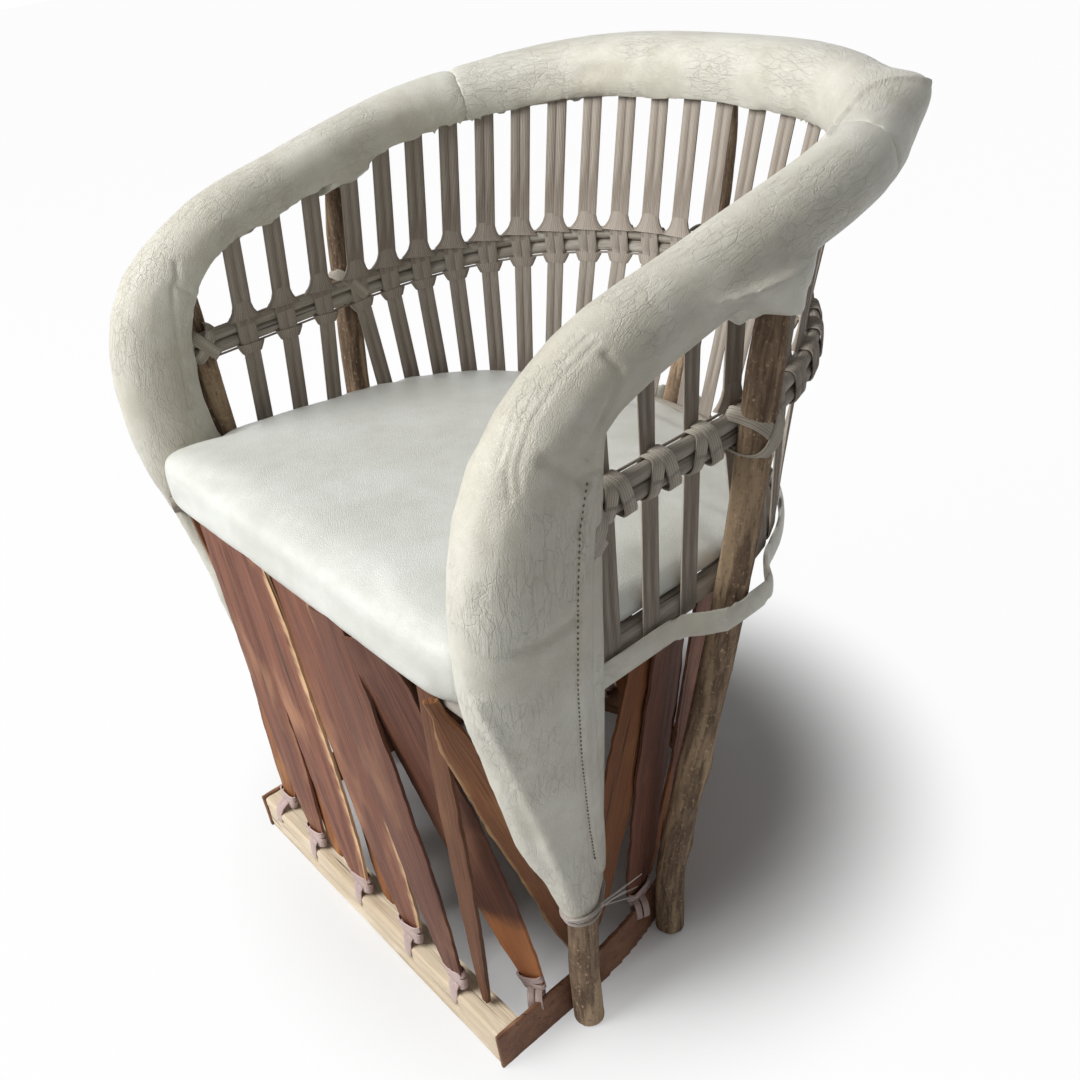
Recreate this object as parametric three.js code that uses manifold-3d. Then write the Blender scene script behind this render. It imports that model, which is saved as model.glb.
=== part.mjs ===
// Barrel armchair of bent rods, sticks, split wood slats, leather and flat woven lacing.
// Millimetres, +Z up. The chair faces -Y, and its right arm, seen from the front, is at +X.
// The origin is on the floor, under the middle of the chair's outline.

import * as THREE from 'three'
import Module from 'manifold-3d'

const wasm = await Module()
wasm.setup()

// Overall sizes
const halfDepth = 314.5
const rollBackHeight = 742
const armHalfWidth = 281
const clearance = 0.3
const looseClearance = 0.6

// Base: a thick front rail and a thin strip bent round the back
const baseHalfWidth = 222
const baseHeight = 48
const stripThickness = 5
const baseBackSetBack = 204
const baseBackY = halfDepth - baseBackSetBack
const baseBendY = -212
const baseSquareness = 2
const railDepth = 28
const railHeight = 46
const railSetBack = 2
const railEdgeRound = 3
const thongHoleRadius = 4
const thongHoleHeight = 26

// Posts: natural sticks standing outside the hoops
const postRadius = 15
const postTopRadius = 11.5
const frontPostFootSetBack = 96
const frontPostSeatSetBack = 106
const frontPostRodSetBack = 110
const frontPostTopSetBack = 117.5
const frontPostFootY = frontPostFootSetBack - halfDepth
const frontPostSeatY = frontPostSeatSetBack - halfDepth
const frontPostRodY = frontPostRodSetBack - halfDepth
const frontPostTopY = frontPostTopSetBack - halfDepth
const leftFootForward = 24
const rearPostFootY = -94.5
const rearPostSeatY = -42.5
const rearPostRodY = -22.5
const rearPostTopY = 0.5
const postTopAboveCore = -5
const postSeatShare = 0.6
const postRodShare = 0.8

// Seat hoop, its front bar and the leather seat
const seatRodRadius = 10
const seatHalfWidth = 254
const seatBarSetBack = 37
const seatBarY = seatBarSetBack - halfDepth
const seatHoopOverBar = 12.5
const seatHoopFrontY = seatBarY - seatHoopOverBar
const seatBendY = -40
const seatBackSetBack = 153.5
const seatBackY = halfDepth - seatBackSetBack
const seatSquareness = 2.1
const seatHoopHeight = 428
const cushionFrontRise = 58
const cushionBackDrop = 54
const cushionCrown = 10
const cushionOverBar = 28.5
const cushionFrontY = seatBarY - cushionOverBar
const cushionOverHoop = 7
const cushionHalfWidth = seatHalfWidth + cushionOverHoop
const cushionBackShort = 3
const cushionBackY = seatBackY - cushionBackShort
const cushionCorner = 46
const cushionDrawIn = 12
const seatArmGap = 1.8
const hemThickness = 6
const hemHeight = 27
const hemBelowHoop = 8
const hemHeightAboveFloor = seatHoopHeight - hemBelowHoop
const hemBehindPost = 18.5
const hemFrontY = frontPostSeatY + hemBehindPost
const hemBumpReach = 60
const hemPostSlack = 2
const hemBumpRiseShare = 0.6

// Two rods halfway up the back
const rodRadius = 6
const rodSpacing = 13.5
const rodHalfWidth = 270
const rodBeforePost = 12.5
const rodFrontY = frontPostRodY - rodBeforePost
const rodBendY = -31.5
const rodBackSetBack = 82
const rodBackY = halfDepth - rodBackSetBack
const rodSquareness = 2.2
const rodFrontHeight = 568
const rodBackRise = 12

// Arm and back roll: a stuffed leather sleeve over a bent core
const rollRadius = 35
const rollBendY = -38.5
const rollBackY = halfDepth - rollRadius
const rollSquareness = 2.8
const rollSideHeightShare = 0.965
const leftArmSetBack = 9
const coreRadius = 9
const coreTipShare = 0.6
const coreTaperShare = 0.16
const coreInset = 6
const channelSlack = 2.6
const slotFlareShare = 0.6
const lacedFromShare = 0.4
const lacedFullShare = 0.7
const tipHeight = 186
const ankleHeight = 229
const rightSeamSetBack = 151.5
const leftSeamSetBack = 143.5
const rightSeamY = rollBackY - rightSeamSetBack
const leftSeamY = rollBackY - leftSeamSetBack
const postCoverThickness = 3
const postCoverDegrees = 100
const postCoverAboveTie = 4
const lashDegrees = 48
const ankleLashDegrees = 20
const tieThickness = 3
const tieHeight = 7
const tieHeightAboveTip = 5
const tieSlack = 7.5

// Lacing: flat woven straps from the roll to the seat hoop
const laceWidth = 18
const laceFlare = 25
const laceThickness = 2.4
const laceCoreSlack = 1
const laceLinkWidth = 6
const laceLinkLapShare = 0.33
const laceFlareReach = 17
const laceHookDegrees = 100
const sideLaceCount = 3
const backLaceCount = 11
const lacePostMargin = 27
const laceCentreMargin = 25
const laceLastStepShare = 0.5

// Slats: two crossing layers of split wood
const slatThickness = 4
const slatLayerStep = 8
const frontSlatWidth = 60
const barrelSlatWidth = 40
const slatFootHeight = 40
const slatBarGap = 1.2
const slatHoopGap = 3.2
const firstBackSlatY = -100
const backSlatCount = 9
const backSlatLean = 46
const innerFootShift = 30

const finishes = {
  paleWood: { color: 0xcdb98e, roughness: 0.8, metalness: 0 },
  stripWood: { color: 0x9a6c3c, roughness: 0.75, metalness: 0 },
  bark: { color: 0x7b6652, roughness: 0.85, metalness: 0 },
  rod: { color: 0xa9a397, roughness: 0.7, metalness: 0 },
  leather: { color: 0xd8d3bf, roughness: 0.45, metalness: 0 },
  seatLeather: { color: 0xbdbbad, roughness: 0.4, metalness: 0 },
  lacing: { color: 0x9c8f80, roughness: 0.9, metalness: 0 },
  redSlat: { color: 0x7a4430, roughness: 0.7, metalness: 0 },
  orangeSlat: { color: 0xa86a35, roughness: 0.65, metalness: 0 },
  string: { color: 0xb9b2a6, roughness: 0.9, metalness: 0 },
}

const chair = new THREE.Group()
const upward = new THREE.Vector3(0, 0, 1)
const rightward = new THREE.Vector3(1, 0, 0)

// Faces that close an end: a fan across a convex outline, or cut triangles across a hollowed one
function endFaces(outline, hollowed) {
  if (hollowed) return THREE.ShapeUtils.triangulateShape(outline, [])
  return outline.slice(2).map((point, i) => [0, i + 1, i + 2])
}

// A closed solid from rings of points, with flat ends
function solidFromRings(rings, endOutline, hollowed = false) {
  const count = rings[0].length
  const positions = []
  const faces = []
  rings.forEach((ring) => ring.forEach((point) => positions.push(point.x, point.y, point.z)))
  for (let ring = 0; ring < rings.length - 1; ring++) {
    for (let i = 0; i < count; i++) {
      const a = ring * count + i
      const b = ring * count + ((i + 1) % count)
      faces.push(a, b, b + count, a, b + count, a + count)
    }
  }
  const last = (rings.length - 1) * count
  endFaces(endOutline, hollowed).forEach(([a, b, c]) => {
    faces.push(c, b, a)
    faces.push(last + a, last + b, last + c)
  })
  const geometry = new THREE.BufferGeometry()
  geometry.setAttribute('position', new THREE.Float32BufferAttribute(positions, 3))
  geometry.setIndex(faces)
  return geometry
}

function toManifold(geometry) {
  const vertProperties = new Float32Array(geometry.attributes.position.array)
  const triVerts = new Uint32Array(geometry.index.array)
  return new wasm.Manifold(new wasm.Mesh({ numProp: 3, vertProperties, triVerts }))
}

function fromManifold(solid) {
  const mesh = solid.getMesh()
  const geometry = new THREE.BufferGeometry()
  geometry.setAttribute('position', new THREE.Float32BufferAttribute(mesh.vertProperties, 3))
  geometry.setIndex(Array.from(mesh.triVerts))
  return geometry
}

function cut(geometry, cutters) {
  const solid = cutters.reduce((rest, cutter) => rest.subtract(toManifold(cutter)), toManifold(geometry))
  return fromManifold(solid)
}

function join(geometries) {
  const solids = geometries.map(toManifold)
  return fromManifold(solids.reduce((whole, solid) => whole.add(solid)))
}

function addPiece(name, geometry, finish) {
  geometry.computeVertexNormals()
  const mesh = new THREE.Mesh(geometry, new THREE.MeshStandardMaterial(finishes[finish]))
  mesh.name = name
  chair.add(mesh)
}

// A plan outline with straight sides from the front to a bend, and a superellipse round the back
function makePlan(halfWidth, front, bend, back, squareness) {
  const plan = { halfWidth, front, bend, back, squareness }
  plan.inset = (distance) =>
    makePlan(halfWidth - distance, front, bend, back - distance, squareness)
  plan.xAt = (y) => {
    const reach = Math.max(0, (y - bend) / (back - bend))
    return halfWidth * (1 - reach ** squareness) ** (1 / squareness)
  }
  plan.outwardAt = (point) => {
    const across = Math.abs(point.x / halfWidth) ** (squareness - 1) / halfWidth
    const reach = Math.max(0, (point.y - bend) / (back - bend))
    const along = reach ** (squareness - 1) / (back - bend)
    return new THREE.Vector3(Math.sign(point.x) * across, along, 0).normalize()
  }
  plan.atAngle = (angle, height) => {
    const cos = Math.cos(angle)
    const sin = Math.abs(Math.sin(angle))
    const x = halfWidth * Math.sign(cos) * Math.abs(cos) ** (2 / squareness)
    return new THREE.Vector3(x, bend + (back - bend) * sin ** (2 / squareness), height)
  }
  return plan
}

// The right half of a plan route, from its front end to the middle of the back
function halfRoute(plan, sideSteps, backSteps, heightAt) {
  const points = []
  for (let i = 0; i < sideSteps; i++) {
    const y = plan.front + ((plan.bend - plan.front) * i) / sideSteps
    points.push(new THREE.Vector3(plan.halfWidth, y, 0))
  }
  for (let i = 0; i <= backSteps; i++) {
    points.push(plan.atAngle((Math.PI / 2) * (i / backSteps), 0))
  }
  points.forEach((point) => {
    point.z = heightAt(Math.max(0, (point.y - plan.bend) / (plan.back - plan.bend)))
  })
  return points
}

function mirrorRoute(half) {
  const left = half.slice(0, -1).reverse()
  return half.concat(left.map((point) => new THREE.Vector3(-point.x, point.y, point.z)))
}

function makeRun(points, outwardAt) {
  const curve = new THREE.CatmullRomCurve3(points, false, 'centripetal')
  curve.arcLengthDivisions = 600
  return { curve, outwardAt, length: curve.getLength() }
}

function planRun(plan, heightAt, sideSteps = 4, backSteps = 8) {
  return makeRun(mirrorRoute(halfRoute(plan, sideSteps, backSteps, heightAt)), plan.outwardAt)
}

// Place, outward side, underside and direction of a run at a share of its length
function frameAt(run, share) {
  const centre = run.curve.getPointAt(share)
  const tangent = run.curve.getTangentAt(share)
  const side = run.outwardAt(centre).clone()
  side.addScaledVector(tangent, -side.dot(tangent)).normalize()
  const under = new THREE.Vector3().crossVectors(tangent, side)
  return { centre, tangent, side, under }
}

function placeSection(frame, outline) {
  return outline.map((point) =>
    frame.centre.clone().addScaledVector(frame.side, point.x).addScaledVector(frame.under, point.y))
}

function sweep(run, steps, sectionAt, from = 0, to = 1, hollowed = false) {
  const rings = []
  for (let i = 0; i <= steps; i++) {
    const share = from + ((to - from) * i) / steps
    rings.push(placeSection(frameAt(run, share), sectionAt(share)))
  }
  return solidFromRings(rings, sectionAt(from), hollowed)
}

function roundSection(radius, sides, squash = 1) {
  const outline = []
  for (let i = 0; i < sides; i++) {
    const angle = (2 * Math.PI * (i + 0.5)) / sides
    outline.push(new THREE.Vector2(radius * Math.cos(angle), radius * squash * Math.sin(angle)))
  }
  return outline
}

function boxSection(width, height) {
  const corners = [[1, 1], [-1, 1], [-1, -1], [1, -1]]
  return corners.map(([x, y]) => new THREE.Vector2((x * width) / 2, (y * height) / 2))
}

// Share of a run's length, on its right half, at a given Y
function shareAtY(run, y) {
  let low = 0
  let high = 0.5
  for (let i = 0; i < 40; i++) {
    const middle = (low + high) / 2
    if (run.curve.getPointAt(middle).y < y) low = middle
    else high = middle
  }
  return low
}

// Share on a run's right half where it faces the same way as another run does at its own share
function shareFacing(run, other, otherShare) {
  const facing = other.outwardAt(other.curve.getPointAt(otherShare)).y
  let low = 0
  let high = 0.5
  for (let i = 0; i < 40; i++) {
    const middle = (low + high) / 2
    if (run.outwardAt(run.curve.getPointAt(middle)).y < facing) low = middle
    else high = middle
  }
  return low
}

// Hoops and rods
const basePlan = makePlan(
  baseHalfWidth - stripThickness / 2, -halfDepth, baseBendY, baseBackY - stripThickness / 2, baseSquareness)
const seatPlan = makePlan(seatHalfWidth, seatHoopFrontY, seatBendY, seatBackY, seatSquareness)
const rodPlan = makePlan(rodHalfWidth, rodFrontY, rodBendY, rodBackY, rodSquareness)
const rollPlan = makePlan(armHalfWidth, frontPostFootY, rollBendY, rollBackY, rollSquareness)
const rodHeightAt = (reach) => rodFrontHeight + rodBackRise * reach ** 2
const rollHeightAt = (reach) =>
  rollBackHeight * (rollSideHeightShare + (1 - rollSideHeightShare) * Math.sin((Math.PI / 2) * reach))

const baseRun = planRun(basePlan, () => baseHeight / 2, 3, 10)
const seatRun = planRun(seatPlan, () => seatHoopHeight)
const rodRun = planRun(rodPlan, rodHeightAt)

// The roll's route up the arm's front, in shares of the arm's half width, the half depth and the
// roll's height at the back, with its half thickness outward and fore-and-aft in shares of its radius,
// and the core's place inward of the middle in shares of its inset
const armRouteShares = [
  [0.914, -0.772, 0.404, 0.6, 1.06, 0],
  [0.94, -0.806, 0.539, 0.74, 1.26, -0.9],
  [0.97, -0.846, 0.634, 0.9, 1.3, -0.6],
  [0.994, -0.846, 0.741, 0.98, 1.25, 0],
  [0.99, -0.778, 0.827, 0.98, 1.16, 0.5],
  [0.972, -0.564, 0.898, 0.94, 0.98, 1],
  [0.986, -0.19, 0.94, 0.89, 0.9, 1],
]
const leftSetBackShares = [0, 0.8, 1, 1, 0.6, 0, 0]
const rollCornerShares = [0.9, 0.92, 0.95, 0.98, 1]
const tipHalfOut = 13.5
const tipHalfFore = 16
const ankleHalfOut = 17
const ankleHalfFore = 24

const postSides = 8
const postRadiusAt = (share) => postRadius + (postTopRadius - postRadius) * share

// A post's route past the outside of each hoop, from the floor up
function postRoute(side, footY, seatY, rodY, topY, topHeight, footForward = 0) {
  const beside = (plan, y, distance, height) => {
    const point = new THREE.Vector3(side * plan.xAt(y), y, 0)
    point.addScaledVector(plan.outwardAt(point), distance)
    point.z = height
    return point
  }
  const base = beside(basePlan, footY, stripThickness / 2 + clearance + postRadius, baseHeight)
  base.y -= footForward
  const foot = base.clone().setZ(0)
  const seat = beside(seatPlan, seatY, seatRodRadius + clearance + postRadiusAt(postSeatShare), seatHoopHeight)
  const rod = beside(rodPlan, rodY, rodRadius + clearance + postRadiusAt(postRodShare), rodFrontHeight)
  const corePlan = rollPlan.inset(coreInset)
  const top = beside(corePlan, topY, coreRadius + clearance + postTopRadius, topHeight)
  return [foot, base, seat, rod, top]
}

function centrePostRoute(topHeight) {
  const behind = (plan, distance, height) => new THREE.Vector3(0, plan.back + distance, height)
  const base = behind(basePlan, stripThickness / 2 + clearance + postRadius, baseHeight)
  return [
    base.clone().setZ(0),
    base,
    behind(seatPlan, seatRodRadius + clearance + postRadiusAt(postSeatShare), seatHoopHeight),
    behind(rodPlan, rodRadius + clearance + postRadiusAt(postRodShare), rodFrontHeight + rodBackRise - rodSpacing),
    behind(rollPlan.inset(coreInset), coreRadius + clearance + postTopRadius, topHeight),
  ]
}

function postRun(route) {
  return makeRun(route, () => rightward)
}

function postSolid(run, extra = 0, extend = 0) {
  const stick = sweep(run, 9, (share) => roundSection(postRadiusAt(share) + extra, postSides))
  if (!extend) return stick
  const top = run.curve.getPointAt(1)
  const direction = run.curve.getTangentAt(1)
  const ends = [-extend, extend].map((reach) => top.clone().addScaledVector(direction, reach))
  const tip = sweep(makeRun(ends, () => rightward), 1, () => roundSection(postTopRadius + extra, postSides))
  return join([stick, tip])
}

// Height of the roll's middle line at a given Y on the arm, from its shares
function armHeightAt(y) {
  const upper = armRouteShares[armRouteShares.length - 1]
  const lower = armRouteShares[armRouteShares.length - 2]
  const reach = (y / halfDepth - lower[1]) / (upper[1] - lower[1])
  return rollBackHeight * (lower[2] + (upper[2] - lower[2]) * reach)
}

const frontTopHeight = armHeightAt(frontPostTopY) + postTopAboveCore
const rearTopHeight = rollHeightAt(0) + postTopAboveCore
const posts = {
  front_post_right: postRun(postRoute(
    1, frontPostFootY, frontPostSeatY, frontPostRodY, frontPostTopY, frontTopHeight)),
  front_post_left: postRun(postRoute(
    -1, frontPostFootY, frontPostSeatY, frontPostRodY, frontPostTopY, frontTopHeight, leftFootForward)),
  rear_post_right: postRun(postRoute(
    1, rearPostFootY, rearPostSeatY, rearPostRodY, rearPostTopY, rearTopHeight)),
  rear_post_left: postRun(postRoute(
    -1, rearPostFootY, rearPostSeatY, rearPostRodY, rearPostTopY, rearTopHeight)),
  centre_back_post: postRun(centrePostRoute(rollBackHeight + postTopAboveCore)),
}

function shareAtHeight(run, height) {
  let low = 0
  let high = 1
  for (let i = 0; i < 40; i++) {
    const middle = (low + high) / 2
    if (run.curve.getPointAt(middle).z < height) low = middle
    else high = middle
  }
  return low
}

// Level direction from a post to the leather foot lashed to it: forward, turned outward
function lashReach(side, degrees) {
  const turn = THREE.MathUtils.degToRad(degrees)
  return new THREE.Vector3(side * Math.sin(turn), -Math.cos(turn), 0)
}

// The roll's stations for one side: place, half thickness outward and fore-and-aft, and core inset
function rollStations(side, post) {
  const lashed = (height, degrees, halfOut, halfFore) => {
    const point = post.curve.getPointAt(shareAtHeight(post, height))
    point.add(lashReach(side, degrees).multiplyScalar(postRadius + coreRadius * coreTipShare + looseClearance))
    return { point, halfOut, halfFore, inset: 0 }
  }
  const stations = [
    lashed(tipHeight, lashDegrees, tipHalfOut, tipHalfFore),
    lashed(ankleHeight, ankleLashDegrees, ankleHalfOut, ankleHalfFore),
  ]
  armRouteShares.forEach(([out, fore, height, halfOut, halfFore, inset], i) => {
    const setBack = side < 0 ? leftArmSetBack * leftSetBackShares[i] : 0
    stations.push({
      point: new THREE.Vector3(side * out * armHalfWidth, fore * halfDepth + setBack, height * rollBackHeight),
      halfOut: halfOut * rollRadius,
      halfFore: halfFore * rollRadius,
      inset: inset * coreInset,
    })
  })
  rollCornerShares.forEach((fullShare, i) => {
    const share = (i + 1) / (rollCornerShares.length + 1)
    const point = rollPlan.atAngle((Math.PI / 2) * share, rollHeightAt(share))
    point.x *= side
    const half = rollRadius * fullShare
    stations.push({ point, halfOut: half, halfFore: half, inset: coreInset })
  })
  return stations
}

function makeRoll() {
  const middle = {
    point: new THREE.Vector3(0, rollBackY, rollBackHeight),
    halfOut: rollRadius,
    halfFore: rollRadius,
    inset: coreInset,
  }
  const right = rollStations(1, posts.front_post_right)
  const left = rollStations(-1, posts.front_post_left)
  const stations = right.concat([middle], left.reverse())
  const run = makeRun(stations.map((station) => station.point), rollPlan.outwardAt)
  const lengths = [0]
  for (let i = 1; i < stations.length; i++) {
    const steps = run.curve.arcLengthDivisions
    const all = run.curve.getLengths(steps)
    lengths.push(all[Math.round((steps * i) / (stations.length - 1))] / run.length)
  }
  run.blend = (share, key) => {
    const next = Math.min(stations.length - 1, Math.max(1, lengths.findIndex((at) => at >= share)))
    const reach = (share - lengths[next - 1]) / (lengths[next] - lengths[next - 1])
    const smooth = THREE.MathUtils.smoothstep(reach, 0, 1)
    return THREE.MathUtils.lerp(stations[next - 1][key], stations[next][key], smooth)
  }
  return run
}

const rollRun = makeRoll()
const coreTaperAt = (share) => {
  const reach = Math.min(1, Math.min(share, 1 - share) / coreTaperShare)
  return coreTipShare + (1 - coreTipShare) * reach
}

function shifted(outline, across, along = 0) {
  return outline.map((point) => new THREE.Vector2(point.x + across, point.y + along))
}

function coreSection(share, extra = 0) {
  return shifted(roundSection(coreRadius * coreTaperAt(share) + extra, 8), -rollRun.blend(share, 'inset'))
}

// Leather round the core, open underneath where its edges meet and the lacing comes out
function sleeveSection(share) {
  const halfOut = rollRun.blend(share, 'halfOut')
  const halfFore = rollRun.blend(share, 'halfFore')
  const inset = rollRun.blend(share, 'inset')
  const laced = THREE.MathUtils.smoothstep(inset, coreInset * lacedFromShare, coreInset * lacedFullShare)
  const slot = coreRadius * coreTaperAt(share) + channelSlack + (laceThickness + laceCoreSlack) * laced
  const inner = (inset + slot) / halfOut
  const start = Math.PI / 2 + Math.asin(inner + (1 - inner) * slotFlareShare * laced)
  const end = (5 * Math.PI) / 2 - Math.asin((slot - inset) / halfOut)
  const outerSteps = 11
  const outline = []
  for (let i = 0; i <= outerSteps; i++) {
    const angle = start + ((end - start) * i) / outerSteps
    outline.push(new THREE.Vector2(halfOut * Math.cos(angle), halfFore * Math.sin(angle)))
  }
  const innerSteps = 6
  for (let i = 0; i <= innerSteps; i++) {
    const angle = (-Math.PI * i) / innerSteps
    outline.push(new THREE.Vector2(slot * Math.cos(angle) - inset, slot * Math.sin(angle)))
  }
  return outline
}

function solidSleeve(from, to, extra) {
  return sweep(rollRun, 14, (share) => {
    const halfOut = rollRun.blend(share, 'halfOut') + extra
    const halfFore = rollRun.blend(share, 'halfFore') + extra
    return roundSection(halfOut, 12, halfFore / halfOut)
  }, from, to)
}

function addBase() {
  const strip = sweep(baseRun, 46, () => boxSection(stripThickness, baseHeight))
  addPiece('base_hoop', strip, 'stripWood')

  const railHalf = baseHalfWidth - stripThickness - clearance
  const outline = new THREE.Shape()
  const front = -halfDepth + railSetBack
  outline.moveTo(front, 0)
  outline.lineTo(front + railDepth, 0)
  outline.lineTo(front + railDepth, railHeight)
  outline.lineTo(front + railEdgeRound, railHeight)
  outline.lineTo(front, railHeight - railEdgeRound)
  const profile = outline.getPoints()
  const rings = [-railHalf, railHalf].map((x) => profile.map((point) => new THREE.Vector3(x, point.x, point.y)))
  const rail = solidFromRings(rings, profile)
  const holes = frontFootShares.map((share) => {
    const x = share * baseHalfWidth
    const drill = makeRun(
      [new THREE.Vector3(x, front - railSetBack, thongHoleHeight),
        new THREE.Vector3(x, front + railDepth + railSetBack, thongHoleHeight)], () => rightward)
    return sweep(drill, 1, () => roundSection(thongHoleRadius, 8))
  })
  addPiece('front_rail', cut(rail, holes), 'paleWood')
}

// Slats: places on the front rail and under the seat's front, as shares of the base's half width
const frontFootShares = [-0.86, -0.482, -0.068, 0.342, 0.685]
const outerFrontSlats = [
  { footShare: -0.482, topShare: -0.61, widthShare: 1.02 },
  { footShare: -0.068, topShare: -0.285, widthShare: 1.12 },
  { footShare: 0.342, topShare: 0.035, widthShare: 1.12 },
  { footShare: 0.685, topShare: 0.32, widthShare: 0.9 },
]
const innerFrontSlats = [
  { footShare: -0.83, topShare: -0.56, widthShare: 0.85 },
  { footShare: -0.35, topShare: -0.22, widthShare: 0.95 },
  { footShare: 0.08, topShare: 0.24, widthShare: 0.95 },
  { footShare: 0.83, topShare: 0.88, widthShare: 0.5 },
]
const slatTopHeight = seatHoopHeight + seatRodRadius

// A slat's width along its length: the front ones widen from a pointed foot, the others narrow at both ends
const frontStationShares = [[0, 0.26], [0.04, 0.44], [0.13, 0.66], [0.32, 0.9], [0.6, 1], [0.9, 0.96], [1, 0.84]]
const barrelStationShares = [[0, 0.3], [0.04, 0.62], [0.13, 0.92], [0.5, 1], [0.88, 0.88], [0.97, 0.55], [1, 0.3]]

// Feet as shares of the strip's inside and the half depth, tops of the half width and a layer's step
const cornerSlats = [
  { name: 'outer_corner_slat_1', side: 1, footShares: [0.952, -0.803], topShares: [0.575, 0],
    widthShare: 0.9, turnDegrees: 14, finish: 'redSlat', stationShares: frontStationShares },
  { name: 'outer_corner_slat_2', side: 1, footShares: [0.967, -0.61], topShares: [1.01, -0.45],
    widthShare: 0.5, turnDegrees: 44, finish: 'orangeSlat', stationShares: barrelStationShares },
  { name: 'inner_corner_slat_1', side: -1, footShares: [0.955, -0.803], topShares: [-0.86, 0.75],
    widthShare: 0.52, turnDegrees: -14, finish: 'orangeSlat', stationShares: barrelStationShares },
]

// A flat slat from its foot to its top, its width lying along a level direction
function slatSolid(foot, top, width, across, stationShares) {
  const direction = top.clone().sub(foot).normalize()
  const side = across.clone().addScaledVector(direction, -across.dot(direction)).normalize()
  const under = new THREE.Vector3().crossVectors(direction, side)
  const rise = (widthShare) =>
    (Math.abs(side.z) * width * widthShare + Math.abs(under.z) * slatThickness) / 2 / direction.z
  const low = foot.clone().addScaledVector(direction, rise(stationShares[0][1]))
  const high = top.clone().addScaledVector(direction, -rise(stationShares[stationShares.length - 1][1]))
  const rings = stationShares.map(([along, widthShare]) => {
    const centre = low.clone().lerp(high, along)
    return placeSection({ centre, side, under }, boxSection(width * widthShare, slatThickness))
  })
  return solidFromRings(rings, boxSection(width, slatThickness))
}

function addFrontSlats() {
  const railFront = -halfDepth + railSetBack
  const outerTopY = seatBarY - seatRodRadius - slatBarGap - slatLayerStep - slatThickness / 2
  const outerFootY = railFront + railDepth / 2 - slatLayerStep / 2
  const layers = [
    { name: 'outer', slats: outerFrontSlats, step: 0, finish: 'redSlat' },
    { name: 'inner', slats: innerFrontSlats, step: slatLayerStep, finish: 'orangeSlat' },
  ]
  layers.forEach(({ name, slats, step, finish }) => {
    slats.forEach(({ footShare, topShare, widthShare }, i) => {
      const low = new THREE.Vector3(footShare * baseHalfWidth, outerFootY + step, railHeight + clearance)
      const high = new THREE.Vector3(topShare * baseHalfWidth, outerTopY + step, slatTopHeight)
      const solid = slatSolid(low, high, frontSlatWidth * widthShare, rightward, frontStationShares)
      addPiece(`${name}_front_slat_${i + 1}`, solid, finish)
    })
  })

  // Slats that start inside the strip and lean across the front corners
  const inside = baseHalfWidth - stripThickness - clearance
  cornerSlats.forEach(({ name, side, footShares, topShares, widthShare, turnDegrees, finish, stationShares }) => {
    const low = new THREE.Vector3(side * inside * footShares[0], footShares[1] * halfDepth, slatFootHeight)
    const high = new THREE.Vector3(
      topShares[0] * baseHalfWidth, outerTopY + topShares[1] * slatLayerStep, slatTopHeight)
    const turn = THREE.MathUtils.degToRad(turnDegrees)
    const across = new THREE.Vector3(Math.cos(turn), Math.sin(turn), 0)
    addPiece(name, slatSolid(low, high, frontSlatWidth * widthShare, across, stationShares), finish)
  })
}

function addBarrelSlats() {
  const footPlan = basePlan.inset(stripThickness / 2 + slatHoopGap + slatThickness / 2)
  const topPlan = seatPlan.inset(seatRodRadius + slatHoopGap + slatThickness / 2)
  const layers = [
    { name: 'outer', step: 0, lean: -1, finish: 'redSlat', leftShare: -0.64 },
    { name: 'inner', step: slatLayerStep, lean: 1, finish: 'orangeSlat', rightShare: -0.64, leftShare: -0.47 },
  ]
  layers.forEach(({ name, step, lean, finish, rightShare, leftShare }) => {
    const footRun = planRun(footPlan.inset(step), () => slatFootHeight, 3, 10)
    const topRun = planRun(topPlan.inset(step), () => slatTopHeight, 4, 10)
    const footBend = shareAtY(footRun, firstBackSlatY)
    const topBend = shareFacing(topRun, footRun, footBend)
    const aboveFoot = (share) => {
      const near = Math.min(share, 1 - share)
      const matched = near < footBend ? (topBend * near) / footBend : shareFacing(topRun, footRun, near)
      return share < 0.5 ? matched : 1 - matched
    }
    const shift = (lean * innerFootShift) / 2 / footRun.length
    const feet = []
    for (let i = 0; i < backSlatCount; i++) {
      feet.push(footBend + ((1 - 2 * footBend) * i) / (backSlatCount - 1))
    }
    if (rightShare) feet.unshift(shareAtY(footRun, rightShare * halfDepth))
    feet.push(1 - shareAtY(footRun, leftShare * halfDepth))
    feet.forEach((share, i) => {
      const footFrame = frameAt(footRun, share + shift)
      const topFrame = frameAt(topRun, aboveFoot(share + shift) + (lean * backSlatLean) / topRun.length)
      const across = footFrame.tangent.clone().add(topFrame.tangent)
      const solid = slatSolid(footFrame.centre, topFrame.centre, barrelSlatWidth, across, barrelStationShares)
      addPiece(`${name}_barrel_slat_${i + 1}`, solid, finish)
    })
  })
}

function addPosts() {
  Object.entries(posts).forEach(([name, run]) => addPiece(name, postSolid(run), 'bark'))
}

function seatBar(extra = 0) {
  const half = seatHalfWidth - seatRodRadius - clearance + extra
  const ends = [new THREE.Vector3(-half, seatBarY, seatHoopHeight), new THREE.Vector3(half, seatBarY, seatHoopHeight)]
  return sweep(makeRun(ends, () => upward), 1, () => roundSection(seatRodRadius + extra, 8))
}

function addSeatFrame() {
  addPiece('seat_hoop', sweep(seatRun, 32, () => roundSection(seatRodRadius, 8)), 'rod')
  addPiece('seat_front_bar', seatBar(), 'rod')
}

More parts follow.
